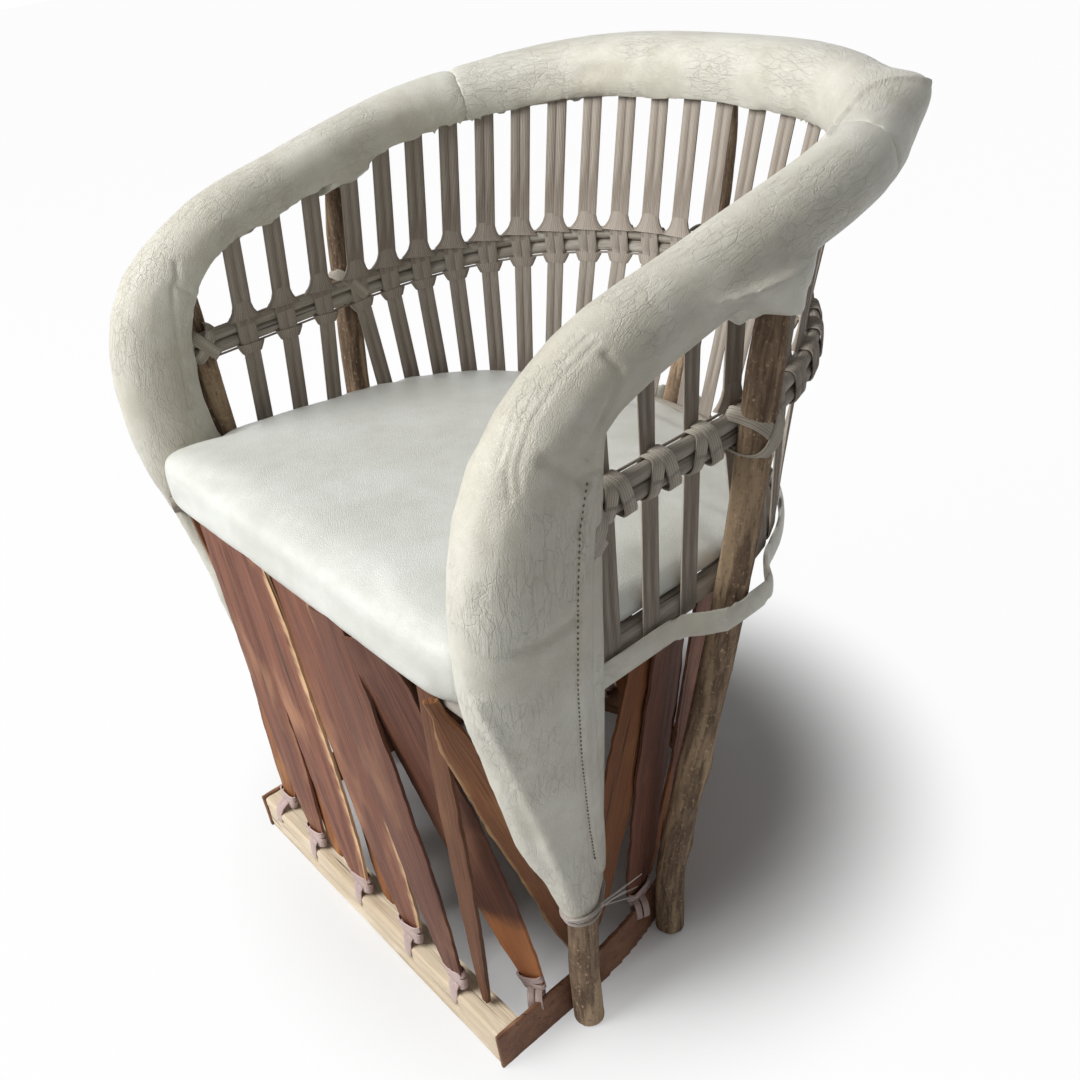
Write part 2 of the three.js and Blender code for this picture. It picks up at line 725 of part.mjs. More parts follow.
// The seat's outline, drawn in by an inset: rounded front corners, straight sides, round back
function seatOutline(inset) {
  const plan = makePlan(cushionHalfWidth, cushionFrontY, seatBendY, cushionBackY, seatSquareness)
  const half = [new THREE.Vector2((cushionHalfWidth - cushionCorner) / 2, cushionFrontY)]
  const cornerSteps = 3
  for (let i = 0; i <= cornerSteps; i++) {
    const angle = (Math.PI / 2) * (i / cornerSteps)
    half.push(new THREE.Vector2(
      cushionHalfWidth - cushionCorner * (1 - Math.sin(angle)),
      cushionFrontY + cushionCorner * (1 - Math.cos(angle))))
  }
  const sideFrontY = cushionFrontY + cushionCorner
  const sideSteps = 3
  for (let i = 1; i < sideSteps; i++) {
    half.push(new THREE.Vector2(cushionHalfWidth, sideFrontY + ((seatBendY - sideFrontY) * i) / sideSteps))
  }
  const backSteps = 7
  for (let i = 0; i < backSteps; i++) {
    const point = plan.atAngle((Math.PI / 2) * (i / backSteps), 0)
    half.push(new THREE.Vector2(point.x, point.y))
  }
  const left = half.slice().reverse().map((point) => new THREE.Vector2(-point.x, point.y))
  const whole = half.concat([new THREE.Vector2(0, cushionBackY)], left)
  const middleY = (cushionFrontY + cushionBackY) / 2
  const halfLength = (cushionBackY - cushionFrontY) / 2
  return whole.map((point) => new THREE.Vector2(
    point.x * (1 - inset / cushionHalfWidth), middleY + (point.y - middleY) * (1 - inset / halfLength)))
}

// The leather seat: drawn in where it wraps the hoop, full at its sides and crowned on top
function addSeat() {
  const bottom = seatHoopHeight + seatRodRadius + clearance
  const levelShares = [[0, 0.75], [0.3, 0.17], [0.62, 0], [0.88, 0.25], [1, 1]]
  const crownShares = [[0.35, 0.17], [0.65, 0.36], [0.88, 0.59], [1, 0.78]]
  const drop = (y) => cushionBackDrop * Math.max(0, (y - cushionFrontY) / (cushionBackY - cushionFrontY))
  const ringAt = (inset, height, sunk) => seatOutline(inset).map((point) =>
    new THREE.Vector3(point.x, point.y, height - sunk * drop(point.y)))
  const sides = levelShares.map(([share, insetShare]) =>
    ringAt(cushionDrawIn * insetShare, bottom + cushionFrontRise * share, share))
  const crown = crownShares.map(([share, insetShare]) =>
    ringAt(cushionHalfWidth * insetShare, bottom + cushionFrontRise + cushionCrown * share, 1))
  const seat = solidFromRings(sides.concat(crown), seatOutline(0))
  const armTo = shareAtY(rollRun, rollBendY)
  const cutters = [
    solidSleeve(0, armTo, seatArmGap),
    solidSleeve(1 - armTo, 1, seatArmGap),
    postCover('front_post_right', seatArmGap),
    postCover('front_post_left', seatArmGap),
  ]
  addPiece('seat_leather', cut(seat, cutters), 'seatLeather')
}

// A rolled leather hem round the barrel at seat level, outside the lacing and the posts
function addSeatHem() {
  const laceFace = seatRodRadius + clearance + laceThickness + looseClearance
  const plan = makePlan(
    seatHalfWidth + laceFace + hemThickness / 2, hemFrontY, seatBendY,
    seatBackY + laceFace + hemThickness / 2, seatSquareness)
  const plainRun = planRun(plan, () => hemHeightAboveFloor, 4, 8)
  const bumpReach = hemBumpReach / plainRun.length
  const bump = seatRodRadius + clearance + 2 * postRadiusAt(postSeatShare) + hemPostSlack - laceFace
  const postShares = [shareAtY(plainRun, rearPostSeatY), 0.5, 1 - shareAtY(plainRun, rearPostSeatY)]
  const points = []
  const steps = 60
  for (let i = 0; i <= steps; i++) {
    const share = i / steps
    const frame = frameAt(plainRun, share)
    const near = Math.min(...postShares.map((post) => Math.abs(share - post)))
    const swell = THREE.MathUtils.smoothstep(bumpReach - near, 0, bumpReach * hemBumpRiseShare)
    points.push(frame.centre.clone().addScaledVector(frame.side, bump * swell))
  }
  const run = makeRun(points, plan.outwardAt)
  const hem = sweep(run, 60, () => roundSection(hemThickness / 2, 8, hemHeight / hemThickness))
  addPiece('seat_hem', hem, 'leather')
}

function backRod(lift, extra = 0) {
  const run = planRun(rodPlan, (reach) => rodHeightAt(reach) + lift, 4, 10)
  return sweep(run, 34, () => roundSection(rodRadius + extra, 6))
}

function addRods() {
  addPiece('lower_back_rod', backRod(-rodSpacing / 2), 'rod')
  addPiece('upper_back_rod', backRod(rodSpacing / 2), 'rod')
}

// The leather that wraps the outer side of a front post, from above its tie up into the roll
function postCover(name, extra = 0) {
  const run = posts[name]
  const side = Math.sign(run.curve.getPointAt(0).x)
  const from = shareAtHeight(run, tipHeight + tieHeightAboveTip + tieHeight + postCoverAboveTie)
  const halfTurn = THREE.MathUtils.degToRad(postCoverDegrees)
  return sweep(run, 10, (share) => {
    const radius = postRadiusAt(share) + looseClearance + postCoverThickness + extra
    const outline = []
    const steps = 8
    for (let i = 0; i <= steps; i++) {
      const angle = side * halfTurn * ((2 * i) / steps - 1)
      outline.push(new THREE.Vector2(side * radius * Math.cos(angle), radius * Math.sin(angle)))
    }
    return outline
  }, from, 1)
}

function addRoll() {
  const core = sweep(rollRun, 76, (share) => coreSection(share))
  addPiece('roll_core', core, 'rod')

  const rightSeam = shareAtY(rollRun, rightSeamY)
  const leftSeam = 1 - shareAtY(rollRun, leftSeamY)
  const halfGap = clearance / 2 / rollRun.length
  const seatFrame = [sweep(seatRun, 32, () => roundSection(seatRodRadius + looseClearance, 8)), seatBar(looseClearance)]
  const rods = [-rodSpacing / 2, rodSpacing / 2].map((lift) => backRod(lift, looseClearance))
  const coreRoom = sweep(rollRun, 76, (share) => coreSection(share, looseClearance))
  const sleeve = (from, to, steps, cutters, covers = []) => {
    const skin = sweep(rollRun, steps, sleeveSection, from, to, true)
    return cut(join([skin, ...covers]), cutters)
  }
  const right = sleeve(0, rightSeam - halfGap, 30, [
    postSolid(posts.front_post_right, looseClearance, looseClearance),
    postSolid(posts.rear_post_right, looseClearance, looseClearance), ...seatFrame, ...rods, coreRoom],
  [postCover('front_post_right')])
  const back = sleeve(rightSeam + halfGap, leftSeam - halfGap, 20, [
    postSolid(posts.centre_back_post, looseClearance, looseClearance)])
  const left = sleeve(leftSeam + halfGap, 1, 30, [
    postSolid(posts.front_post_left, looseClearance, looseClearance),
    postSolid(posts.rear_post_left, looseClearance, looseClearance), ...seatFrame, ...rods, coreRoom],
  [postCover('front_post_left')])
  addPiece('arm_leather_right', right, 'leather')
  addPiece('back_roll_leather', back, 'leather')
  addPiece('arm_leather_left', left, 'leather')
}

// Lacing between two posts: straps hooked over the core and under the seat hoop, linked in a zigzag
function laceStrap(coreShare, rodShare, seatShare) {
  const top = frameAt(rollRun, coreShare)
  const rod = frameAt(rodRun, rodShare)
  const seat = frameAt(seatRun, seatShare)
  const half = laceThickness / 2 + clearance
  const coreReach = coreRadius + half + laceCoreSlack
  const seatReach = seatRodRadius + half
  const coreCentre = top.centre.clone().addScaledVector(top.side, -coreInset)
  const hook = (laceHookDegrees * Math.PI) / 180
  const steps = 4
  const stations = []
  for (let i = steps; i >= 0; i--) {
    const angle = (hook * i) / steps
    const centre = coreCentre.clone()
      .addScaledVector(top.side, -coreReach * Math.cos(angle))
      .addScaledVector(upward, coreReach * Math.sin(angle))
    const face = centre.clone().sub(coreCentre).normalize()
    stations.push({ centre, face, along: top.tangent, width: laceWidth })
  }
  const rodFace = rod.centre.clone().addScaledVector(rod.side, -(rodRadius + half))
  const inward = rod.side.clone().negate()
  const flareShares = [[1, laceWidth], [0.55, laceFlare], [-0.55, laceFlare], [-1, laceWidth]]
  flareShares.forEach(([lift, width]) => {
    const centre = rodFace.clone().addScaledVector(upward, lift * laceFlareReach)
    stations.push({ centre, face: inward, along: rod.tangent, width })
  })
  for (let i = 0; i <= steps; i++) {
    const angle = (hook * i) / steps
    const centre = seat.centre.clone()
      .addScaledVector(seat.side, seatReach * Math.cos(angle))
      .addScaledVector(upward, -seatReach * Math.sin(angle))
    const face = seat.centre.clone().sub(centre).normalize()
    stations.push({ centre, face, along: seat.tangent, width: laceWidth })
  }
  const rings = stations.map(({ centre, face, along, width }) =>
    placeSection({ centre, side: along.clone().negate(), under: face }, boxSection(width, laceThickness)))
  return solidFromRings(rings, boxSection(laceWidth, laceThickness))
}

// A link along a hoop from one strap's hook to the next
function laceLink(run, fromShare, toShare, offsetAt) {
  const reach = (laceLinkLapShare * laceWidth) / run.length
  const rings = []
  const steps = 3
  for (let i = 0; i <= steps; i++) {
    const share = fromShare + reach + ((toShare - fromShare - 2 * reach) * i) / steps
    const frame = frameAt(run, share)
    const centre = frame.centre.clone().add(offsetAt(frame))
    rings.push(placeSection({ centre, side: frame.side, under: upward.clone().negate() },
      boxSection(laceLinkWidth, laceThickness)))
  }
  return solidFromRings(rings, boxSection(laceLinkWidth, laceThickness))
}

function addLacing() {
  const half = laceThickness / 2 + clearance
  const overCore = (frame) => frame.side.clone().multiplyScalar(-coreInset)
    .addScaledVector(upward, coreRadius + half + laceCoreSlack)
  const underHoop = () => upward.clone().multiplyScalar(-(seatRodRadius + half))
  const shares = {
    core: { front: shareAtY(rollRun, frontPostTopY), rear: shareAtY(rollRun, rearPostTopY) },
    rod: { front: shareAtY(rodRun, frontPostRodY), rear: shareAtY(rodRun, rearPostRodY) },
    seat: { front: shareAtY(seatRun, frontPostSeatY), rear: shareAtY(seatRun, rearPostSeatY) },
  }
  const postMargin = lacePostMargin / seatRun.length
  const centreMargin = laceCentreMargin / seatRun.length
  const between = (from, to, reach) => from + (to - from) * reach
  const sideBay = []
  for (let i = 1; i <= sideLaceCount; i++) {
    const reach = i / (sideLaceCount + 1)
    sideBay.push([
      between(shares.core.front, shares.core.rear, reach),
      between(shares.rod.front, shares.rod.rear, reach),
      between(shares.seat.front, shares.seat.rear, reach),
    ])
  }
  const backBay = []
  for (let i = 0; i < backLaceCount; i++) {
    const reach = i / (backLaceCount - laceLastStepShare)
    backBay.push([
      between(shares.core.rear, 0.5, reach),
      between(shares.rod.rear, 0.5, reach),
      between(shares.seat.rear + postMargin, 0.5 - centreMargin, i / (backLaceCount - 1)),
    ])
  }
  const bays = { right_side_lacing: sideBay, right_back_lacing: backBay }
  Object.entries(bays).forEach(([name, straps]) => {
    const solids = straps.map(([core, rod, seat]) => laceStrap(core, rod, seat))
    for (let i = 0; i < straps.length - 1; i++) {
      if (i % 2) solids.push(laceLink(rollRun, straps[i][0], straps[i + 1][0], overCore))
      else solids.push(laceLink(seatRun, straps[i][2], straps[i + 1][2], underHoop))
    }
    addPiece(name, join(solids), 'lacing')
  })
  const leftBays = { left_side_lacing: sideBay, left_back_lacing: backBay }
  Object.entries(leftBays).forEach(([name, straps]) => {
    const mirrored = straps.map((places) => places.map((share) => 1 - share))
    const solids = mirrored.map(([core, rod, seat]) => laceStrap(core, rod, seat))
    for (let i = 0; i < mirrored.length - 1; i++) {
      if (i % 2) solids.push(laceLink(rollRun, mirrored[i + 1][0], mirrored[i][0], overCore))
      else solids.push(laceLink(seatRun, mirrored[i + 1][2], mirrored[i][2], underHoop))
    }
    addPiece(name, join(solids), 'lacing')
  })
}

// String that ties each leather foot to its post
function addLegTies() {
  const height = tipHeight + tieHeightAboveTip
  const ties = { leg_tie_right: posts.front_post_right, leg_tie_left: posts.front_post_left }
  Object.entries(ties).forEach(([name, post]) => {
    const postShare = shareAtHeight(post, height + tieHeight / 2)
    const centre = post.curve.getPointAt(postShare)
    const postFace = postRadiusAt(postShare) * Math.cos(Math.PI / postSides)
    const coreReach = postRadius + coreRadius * coreTipShare + clearance
    const ring = (grow) => roundSection(1, 16).map((point) => {
      const reach = point.y > 0 ? postFace : tipHalfFore + tieSlack
      return new THREE.Vector2(
        point.x * (tipHalfOut + tieSlack + grow),
        point.y * (reach + looseClearance + grow) - (point.y > 0 ? 0 : coreReach))
    })
    const shape = new THREE.Shape(ring(looseClearance + tieThickness))
    shape.holes.push(new THREE.Path(ring(looseClearance).reverse()))
    const band = new THREE.ExtrudeGeometry(shape, { depth: tieHeight, bevelEnabled: false })
    band.deleteAttribute('normal')
    band.deleteAttribute('uv')
    band.rotateZ(Math.sign(centre.x) * THREE.MathUtils.degToRad(lashDegrees))
    band.translate(centre.x, centre.y, height)
    addPiece(name, band, 'string')
  })
}

addBase()
addPosts()
addSeatFrame()
addSeat()
addSeatHem()
addRods()
addRoll()
addLacing()
addFrontSlats()
addBarrelSlats()
addLegTies()

export default chair
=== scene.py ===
# Looks of the leather barrel armchair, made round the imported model.
# Metres, +Z up. The chair faces -Y, and its right arm, seen from the front, is at +X.

import math

import bmesh
import bpy
import numpy as np
from mathutils import Matrix, Vector
from mathutils.bvhtree import BVHTree


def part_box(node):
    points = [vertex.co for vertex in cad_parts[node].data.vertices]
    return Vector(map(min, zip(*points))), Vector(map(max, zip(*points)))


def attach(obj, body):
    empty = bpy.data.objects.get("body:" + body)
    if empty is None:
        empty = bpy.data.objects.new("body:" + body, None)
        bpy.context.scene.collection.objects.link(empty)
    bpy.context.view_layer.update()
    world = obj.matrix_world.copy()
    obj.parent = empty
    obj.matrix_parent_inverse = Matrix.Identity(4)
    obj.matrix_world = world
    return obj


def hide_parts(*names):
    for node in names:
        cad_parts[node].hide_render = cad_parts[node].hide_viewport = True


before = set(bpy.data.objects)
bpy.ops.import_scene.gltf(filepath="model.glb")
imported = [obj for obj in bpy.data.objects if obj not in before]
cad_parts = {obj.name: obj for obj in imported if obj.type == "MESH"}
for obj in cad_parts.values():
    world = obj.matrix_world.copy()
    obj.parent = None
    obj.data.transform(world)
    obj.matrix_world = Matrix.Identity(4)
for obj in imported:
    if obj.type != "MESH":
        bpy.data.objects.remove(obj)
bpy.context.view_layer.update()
scene = bpy.context.scene
up = Vector((0, 0, 1))

# Camera, fitted to the photograph
camera_place = (0.77374, -0.60166, 0.97050)
camera_yaw = 53.144
camera_pitch = -32.673
camera_roll = -7.890
camera_lens_mm = 37.167
sensor_mm = 36
image_side = 1080

# Lights and surroundings
sky_light = 0.22
key_power = 130
key_size = 2.2
key_place = (-0.9, -2.2, 2.6)
fill_power = 1.5
fill_size = 2.5
fill_place = (2.4, -0.6, 1.7)
lamp_target = (0, 0, 0.4)
floor_half = 12
floor_grey = 0.68
floor_fade = (0.21, 0.46)
floor_fade_most = 0.97

# Steps of the remeshed pieces
wood_voxel = 0.0019
right_arm_voxel = 0.0038
roll_voxel = 0.0042
seat_voxel = 0.0055
hem_voxel = 0.003

# Leather blown up by cloth, and what holds it
cloth_frames = 20
roll_pressure = 4.0
roll_swell = 0.004
seat_pressure = 3.0
seat_swell = 0.005
core_hold = 0.0075
post_hold = 0.006
seat_hold = 0.012

# Sizes of the pieces that the model leaves plain
hoop_middle_y = -0.040
hoop_step_degrees = 2.5
seat_hoop_start = -44
rod_start = -32
core_start = -31
rod_height = 0.574
rod_radius = 0.006
rod_stick_radius = 0.0067
rod_half_gap = 0.00675
rods_top = rod_half_gap + rod_radius
core_radius = 0.009
seat_hoop_height = 0.428
seat_hoop_radius = 0.010
foot_radius = 0.015
post_hidden_share = 0.12
post_hidden_taper = 0.35
lace_width = 0.0212
lace_thickness = 0.0024
lace_core_slack = 0.001
lace_hook_degrees = 100
lace_post_margin = 0.027
lace_centre_margin = 0.025
side_lace_count = 3
back_lace_count = 11
funnel_height = 0.019
funnel_spread = 1.85
collar_height = 0.010
collar_spread = 1.25
twine_radius = 0.0011
cord_step = 0.003
clearance = 0.0003
thong_width = 0.0065
thong_thickness = 0.0014
lashing_width = 0.0125
lashing_thickness = 0.0020
string_width = 0.0026
string_thickness = 0.0020
wrap_top = 0.62
wrap_reach = 0.075
wrap_skin = 0.0035
wrap_points = 36
wrap_steps = 30
drape_steps = 10
drape_lift = 0.012
right_drape_drop = 0.050
left_drape_drop = 0.034
stuffing_radius = 0.0255
arm_fill_share = 0.55
back_fill_share = 0.8
roll_sag = 0.015
corner_pull = 0.019
hem_band_half = 0.0085
hem_band_rise = 0.0021
stitch_spacing = 0.0046
front_slats_y = -0.25
slat_under_leather = 0.022
slat_overlap = 1.2
slat_layer_shift = 0.0016


# Node trees
def enabled(sockets, key):
    """A socket by its number, or the one in use by its name."""
    if isinstance(key, int):
        return sockets[key]
    return next(socket for socket in sockets if socket.name == key and socket.enabled)


def add(tree, kind, inputs=None, **settings):
    """Adds a node, sets its options, and links or sets its inputs."""
    node = tree.nodes.new(kind)
    for key, value in settings.items():
        setattr(node, key, value)
    for key, value in (inputs or {}).items():
        socket = enabled(node.inputs, key)
        if isinstance(value, bpy.types.Node):
            value = next(output for output in value.outputs if output.enabled)
        if isinstance(value, bpy.types.NodeSocket):
            tree.links.new(value, socket)
        else:
            socket.default_value = value
    return node


def calc(tree, operation, *values):
    """A Math node on numbers or sockets."""
    return add(tree, "ShaderNodeMath", dict(enumerate(values)), operation=operation).outputs[0]


def plus(tree, first, second):
    return calc(tree, "ADD", first, second)


def minus(tree, first, second):
    return calc(tree, "SUBTRACT", first, second)


def times(tree, first, second):
    return calc(tree, "MULTIPLY", first, second)


def vector(tree, x, y, z):
    return add(tree, "ShaderNodeCombineXYZ", {"X": x, "Y": y, "Z": z}).outputs[0]


def stretched(tree, coordinates, x, y, z):
    """Coordinates multiplied by a number along each axis."""
    return add(
        tree, "ShaderNodeVectorMath", {0: coordinates, 1: (x, y, z)}, operation="MULTIPLY").outputs[0]


def noise(tree, coordinates, detail=4.0, roughness=0.55, w=0.0, distortion=0.0):
    """Noise from 0 to 1 at scale 1, with a seed in W."""
    return add(tree, "ShaderNodeTexNoise", {
        "Vector": coordinates, "W": w, "Scale": 1.0, "Detail": detail,
        "Roughness": roughness, "Distortion": distortion}, noise_dimensions="4D").outputs[0]


def cell_edges(tree, coordinates):
    """Distance from the edges of cells at scale 1."""
    return add(tree, "ShaderNodeTexVoronoi", {
        "Vector": coordinates, "Scale": 1.0}, feature="DISTANCE_TO_EDGE").outputs[0]


def faded(tree, value, start, end):
    """0 below start and 1 above end, smooth between; start may be the larger."""
    low, high, first, last = (start, end, 0.0, 1.0) if start <= end else (end, start, 1.0, 0.0)
    return add(tree, "ShaderNodeMapRange", {
        "Value": value, "From Min": low, "From Max": high, "To Min": first, "To Max": last},
        interpolation_type="SMOOTHSTEP").outputs[0]


def paint(red, green, blue):
    """A colour from its everyday 0 to 255 values."""
    linear = [
        value / 255 / 12.92 if value / 255 <= 0.04045 else ((value / 255 + 0.055) / 1.055) ** 2.4
        for value in (red, green, blue)]
    return (*linear, 1.0)


def deeper(colour, share):
    """A darker colour from everyday values."""
    return paint(*[part * share for part in colour])


def empty_nodes(holder):
    """The node tree of a material or a world, emptied."""
    holder.use_nodes = True
    holder.node_tree.nodes.clear()
    return holder.node_tree


def mixed(tree, factor, low, high):
    """One colour turning into another."""
    return add(
        tree, "ShaderNodeMix", {"Factor": factor, "A": low, "B": high}, data_type="RGBA").outputs["Result"]


def new_finish(name, **shine):
    """An empty material with a shader whose constant sockets are set directly."""
    finish = bpy.data.materials.new(name)
    tree = empty_nodes(finish)
    output = tree.nodes.new("ShaderNodeOutputMaterial")
    shader = tree.nodes.new("ShaderNodeBsdfPrincipled")
    for key, value in shine.items():
        shader.inputs[key.replace("_", " ")].default_value = value
    tree.links.new(shader.outputs[0], output.inputs["Surface"])
    return finish, tree, shader


def dress(tree, shader, colour, roughness, height, depth):
    """Links a colour and roughness, and a bump whose height is in the given depth."""
    tree.links.new(colour, shader.inputs["Base Color"])
    tree.links.new(roughness, shader.inputs["Roughness"])
    bump = add(tree, "ShaderNodeBump", {"Strength": 1.0, "Distance": depth, "Height": height})
    tree.links.new(bump.outputs[0], shader.inputs["Normal"])


def grain_of(tree):
    """The piece's own coordinates: across, through and along it."""
    return add(tree, "ShaderNodeAttribute", attribute_name="grain").outputs["Vector"]


def carried(tree, name):
    """An amount that the piece carries at each place."""
    return add(tree, "ShaderNodeAttribute", attribute_name=name).outputs["Fac"]


# Finishes
def leather_finish(name, light, worn, roughness, wrinkled=1.0):
    """Soft leather: clouded colour, fine pebbled grain, creases and wrinkles that follow the roll, with
    painted shade in the creases.
    """
    finish, tree, shader = new_finish(name, Sheen_Weight=0.1, Sheen_Roughness=0.4)
    place = add(tree, "ShaderNodeTexCoord").outputs["Object"]
    grain = grain_of(tree)
    cloud = noise(tree, stretched(tree, place, 9, 9, 9), 5.0, 0.6)
    mottle = noise(tree, stretched(tree, place, 70, 70, 70), 4.0, 0.6, 3.0)
    pebble = noise(tree, stretched(tree, place, 520, 520, 520), 3.0, 0.6, 7.0, 0.6)
    pores = cell_edges(tree, stretched(tree, place, 700, 700, 700))
    tone = plus(tree, times(tree, cloud, 0.75), times(tree, mottle, 0.25))
    colour = mixed(tree, faded(tree, tone, 0.66, 0.36), paint(*light), paint(*worn))
    shine = plus(tree, times(tree, mottle, 0.16), roughness - 0.08)
    strands = noise(tree, stretched(tree, grain, 330, 330, 26), 3.0, 0.6, 2.0, 0.4)
    lines = faded(tree, calc(tree, "ABSOLUTE", minus(tree, strands, 0.5)), 0.0, 0.07)
    sway = stretched(tree, vector(tree, mottle, cloud, mottle), 2.6, 2.6, 2.0)
    bent = add(tree, "ShaderNodeVectorMath", {
        0: stretched(tree, grain, 150, 150, 52), 1: sway}, operation="ADD").outputs[0]
    cracks = faded(tree, cell_edges(tree, bent), 0.0, 0.05)
    where = faded(tree, noise(tree, stretched(tree, place, 13, 13, 13), 2.0, 0.5, 5.0), 0.39, 0.57)
    creases = times(tree, times(tree, where, wrinkled), minus(
        tree, 1.5, plus(tree, times(tree, lines, 0.5), cracks)))
    # The creases are darkened a little towards a deeper worn tone: painted shade in the creases.
    colour = mixed(tree, times(tree, creases, 0.08), colour, deeper(worn, 0.7))
    height = minus(tree, plus(tree, times(tree, pebble, 0.55), times(
        tree, faded(tree, pores, 0.0, 0.22), 0.22)), times(tree, creases, 0.52))
    dress(tree, shader, colour, shine, height, 0.0007)
    return finish


def wood_finish(name, dark, middle, pale, sap, roughness=0.62):
    """Split or peeled wood with its streaks along the grain, paler sapwood, and checks darkened with painted
    shade.
    """
    finish, tree, shader = new_finish(name, Specular_IOR_Level=0.35)
    grain = grain_of(tree)
    sapwood = carried(tree, "sap")
    bands = noise(tree, stretched(tree, grain, 75, 75, 3.2), 5.0, 0.6, 2.0)
    fibres = noise(tree, stretched(tree, grain, 620, 620, 14), 3.0, 0.6, 5.0)
    blotches = noise(tree, stretched(tree, grain, 22, 22, 9), 3.0, 0.5, 9.0)
    checks = noise(tree, stretched(tree, grain, 260, 260, 6), 2.0, 0.5, 12.0)
    tone = plus(tree, times(tree, bands, 0.6), times(tree, fibres, 0.4))
    colour = mixed(tree, faded(tree, tone, 0.3, 0.68), paint(*dark), paint(*middle))
    colour = mixed(tree, faded(tree, blotches, 0.5, 0.72), colour, paint(*pale))
    colour = mixed(tree, sapwood, colour, paint(*sap))
    # A per-piece amount darkens the wood: on most slats it is a random tone, and on one slat it is painted
    # shade standing in for the barrel's shadow.
    shade = carried(tree, "shade")
    colour = mixed(tree, times(tree, shade, 0.5), colour, deeper(dark, 0.72))
    peeled = carried(tree, "peeled")
    colour = mixed(tree, peeled, colour, mixed(tree, bands, paint(150, 84, 46), paint(206, 140, 88)))
    # The checks are darkened strongly: painted shade in the cracks.
    deep = faded(tree, checks, 0.36, 0.27)
    colour = mixed(tree, times(tree, deep, 0.75), colour, deeper(dark, 0.35))
    shine = plus(tree, times(tree, fibres, 0.2), roughness - 0.1)
    height = minus(tree, plus(tree, bands, times(tree, fibres, 1.4)), deep)
    dress(tree, shader, colour, shine, height, 0.0011)
    return finish


def bark_finish(name, dark, middle, pale):
    """Bark with lengthwise furrows, pale patches where it has come off, and dark knots."""
    finish, tree, shader = new_finish(name, Specular_IOR_Level=0.25)
    grain = grain_of(tree)
    knot = carried(tree, "knot")
    furrows = noise(tree, stretched(tree, grain, 230, 230, 26), 5.0, 0.65, 1.0, 0.3)
    patches = noise(tree, stretched(tree, grain, 60, 60, 7), 4.0, 0.6, 4.0, 0.4)
    specks = noise(tree, stretched(tree, grain, 420, 420, 240), 3.0, 0.6, 8.0)
    colour = mixed(tree, faded(tree, furrows, 0.35, 0.66), paint(*dark), paint(*middle))
    colour = mixed(tree, faded(tree, patches, 0.5, 0.62), colour, paint(*pale))
    colour = mixed(tree, times(tree, faded(tree, specks, 0.44, 0.34), 0.5), colour, paint(*dark))
    colour = mixed(tree, times(tree, faded(tree, specks, 0.58, 0.7), 0.7), colour,
                   paint(*[min(255, part * 1.22) for part in pale]))
    colour = mixed(tree, times(tree, knot, 0.7), colour, deeper(dark, 0.6))
    shine = plus(tree, times(tree, furrows, 0.15), 0.72)
    height = plus(tree, furrows, times(tree, specks, 0.3))
    dress(tree, shader, colour, shine, height, 0.0013)
    return finish


def cord_finish(name, low, high, rib=0.0011):
    """Flat woven cord: fine lengthwise ribs crossed by the weave, with painted shade in the grooves between
    the ribs.
    """
    finish, tree, shader = new_finish(name, Specular_IOR_Level=0.15, Sheen_Weight=0.15)
    grain = grain_of(tree)
    parts = add(tree, "ShaderNodeSeparateXYZ", {0: grain})
    across, along = parts.outputs["Y"], parts.outputs["Z"]
    slope = calc(tree, "ABSOLUTE", calc(tree, "PINGPONG", across, rib * 1.6))
    twill = calc(tree, "SINE", times(tree, plus(tree, along, slope), math.tau / rib))
    ribs = calc(tree, "COSINE", times(tree, across, math.tau / (rib * 1.6)))
    tone = noise(tree, stretched(tree, grain, 160, 160, 12), 4.0, 0.6, 2.0)
    fuzz = noise(tree, stretched(tree, grain, 1500, 1500, 900), 2.0, 0.6, 6.0)
    place = add(tree, "ShaderNodeTexCoord").outputs["Object"]
    wide = noise(tree, stretched(tree, place, 7, 7, 3), 2.0, 0.5, 5.0)
    colour = mixed(tree, faded(tree, tone, 0.3, 0.7), paint(*low), paint(*high))
    colour = mixed(tree, times(tree, faded(tree, wide, 0.45, 0.7), 0.3), colour,
                   deeper(low, 0.8))
    # The grooves between the ribs are darkened: painted shade.
    groove = times(tree, faded(tree, ribs, -0.4, -1.0), 0.45)
    colour = mixed(tree, groove, colour, deeper(low, 0.6))
    shine = plus(tree, times(tree, fuzz, 0.1), 0.82)
    height = plus(tree, times(tree, ribs, 0.55),
                  plus(tree, times(tree, twill, 0.25), fuzz))
    dress(tree, shader, colour, shine, height, 0.0003)
    return finish


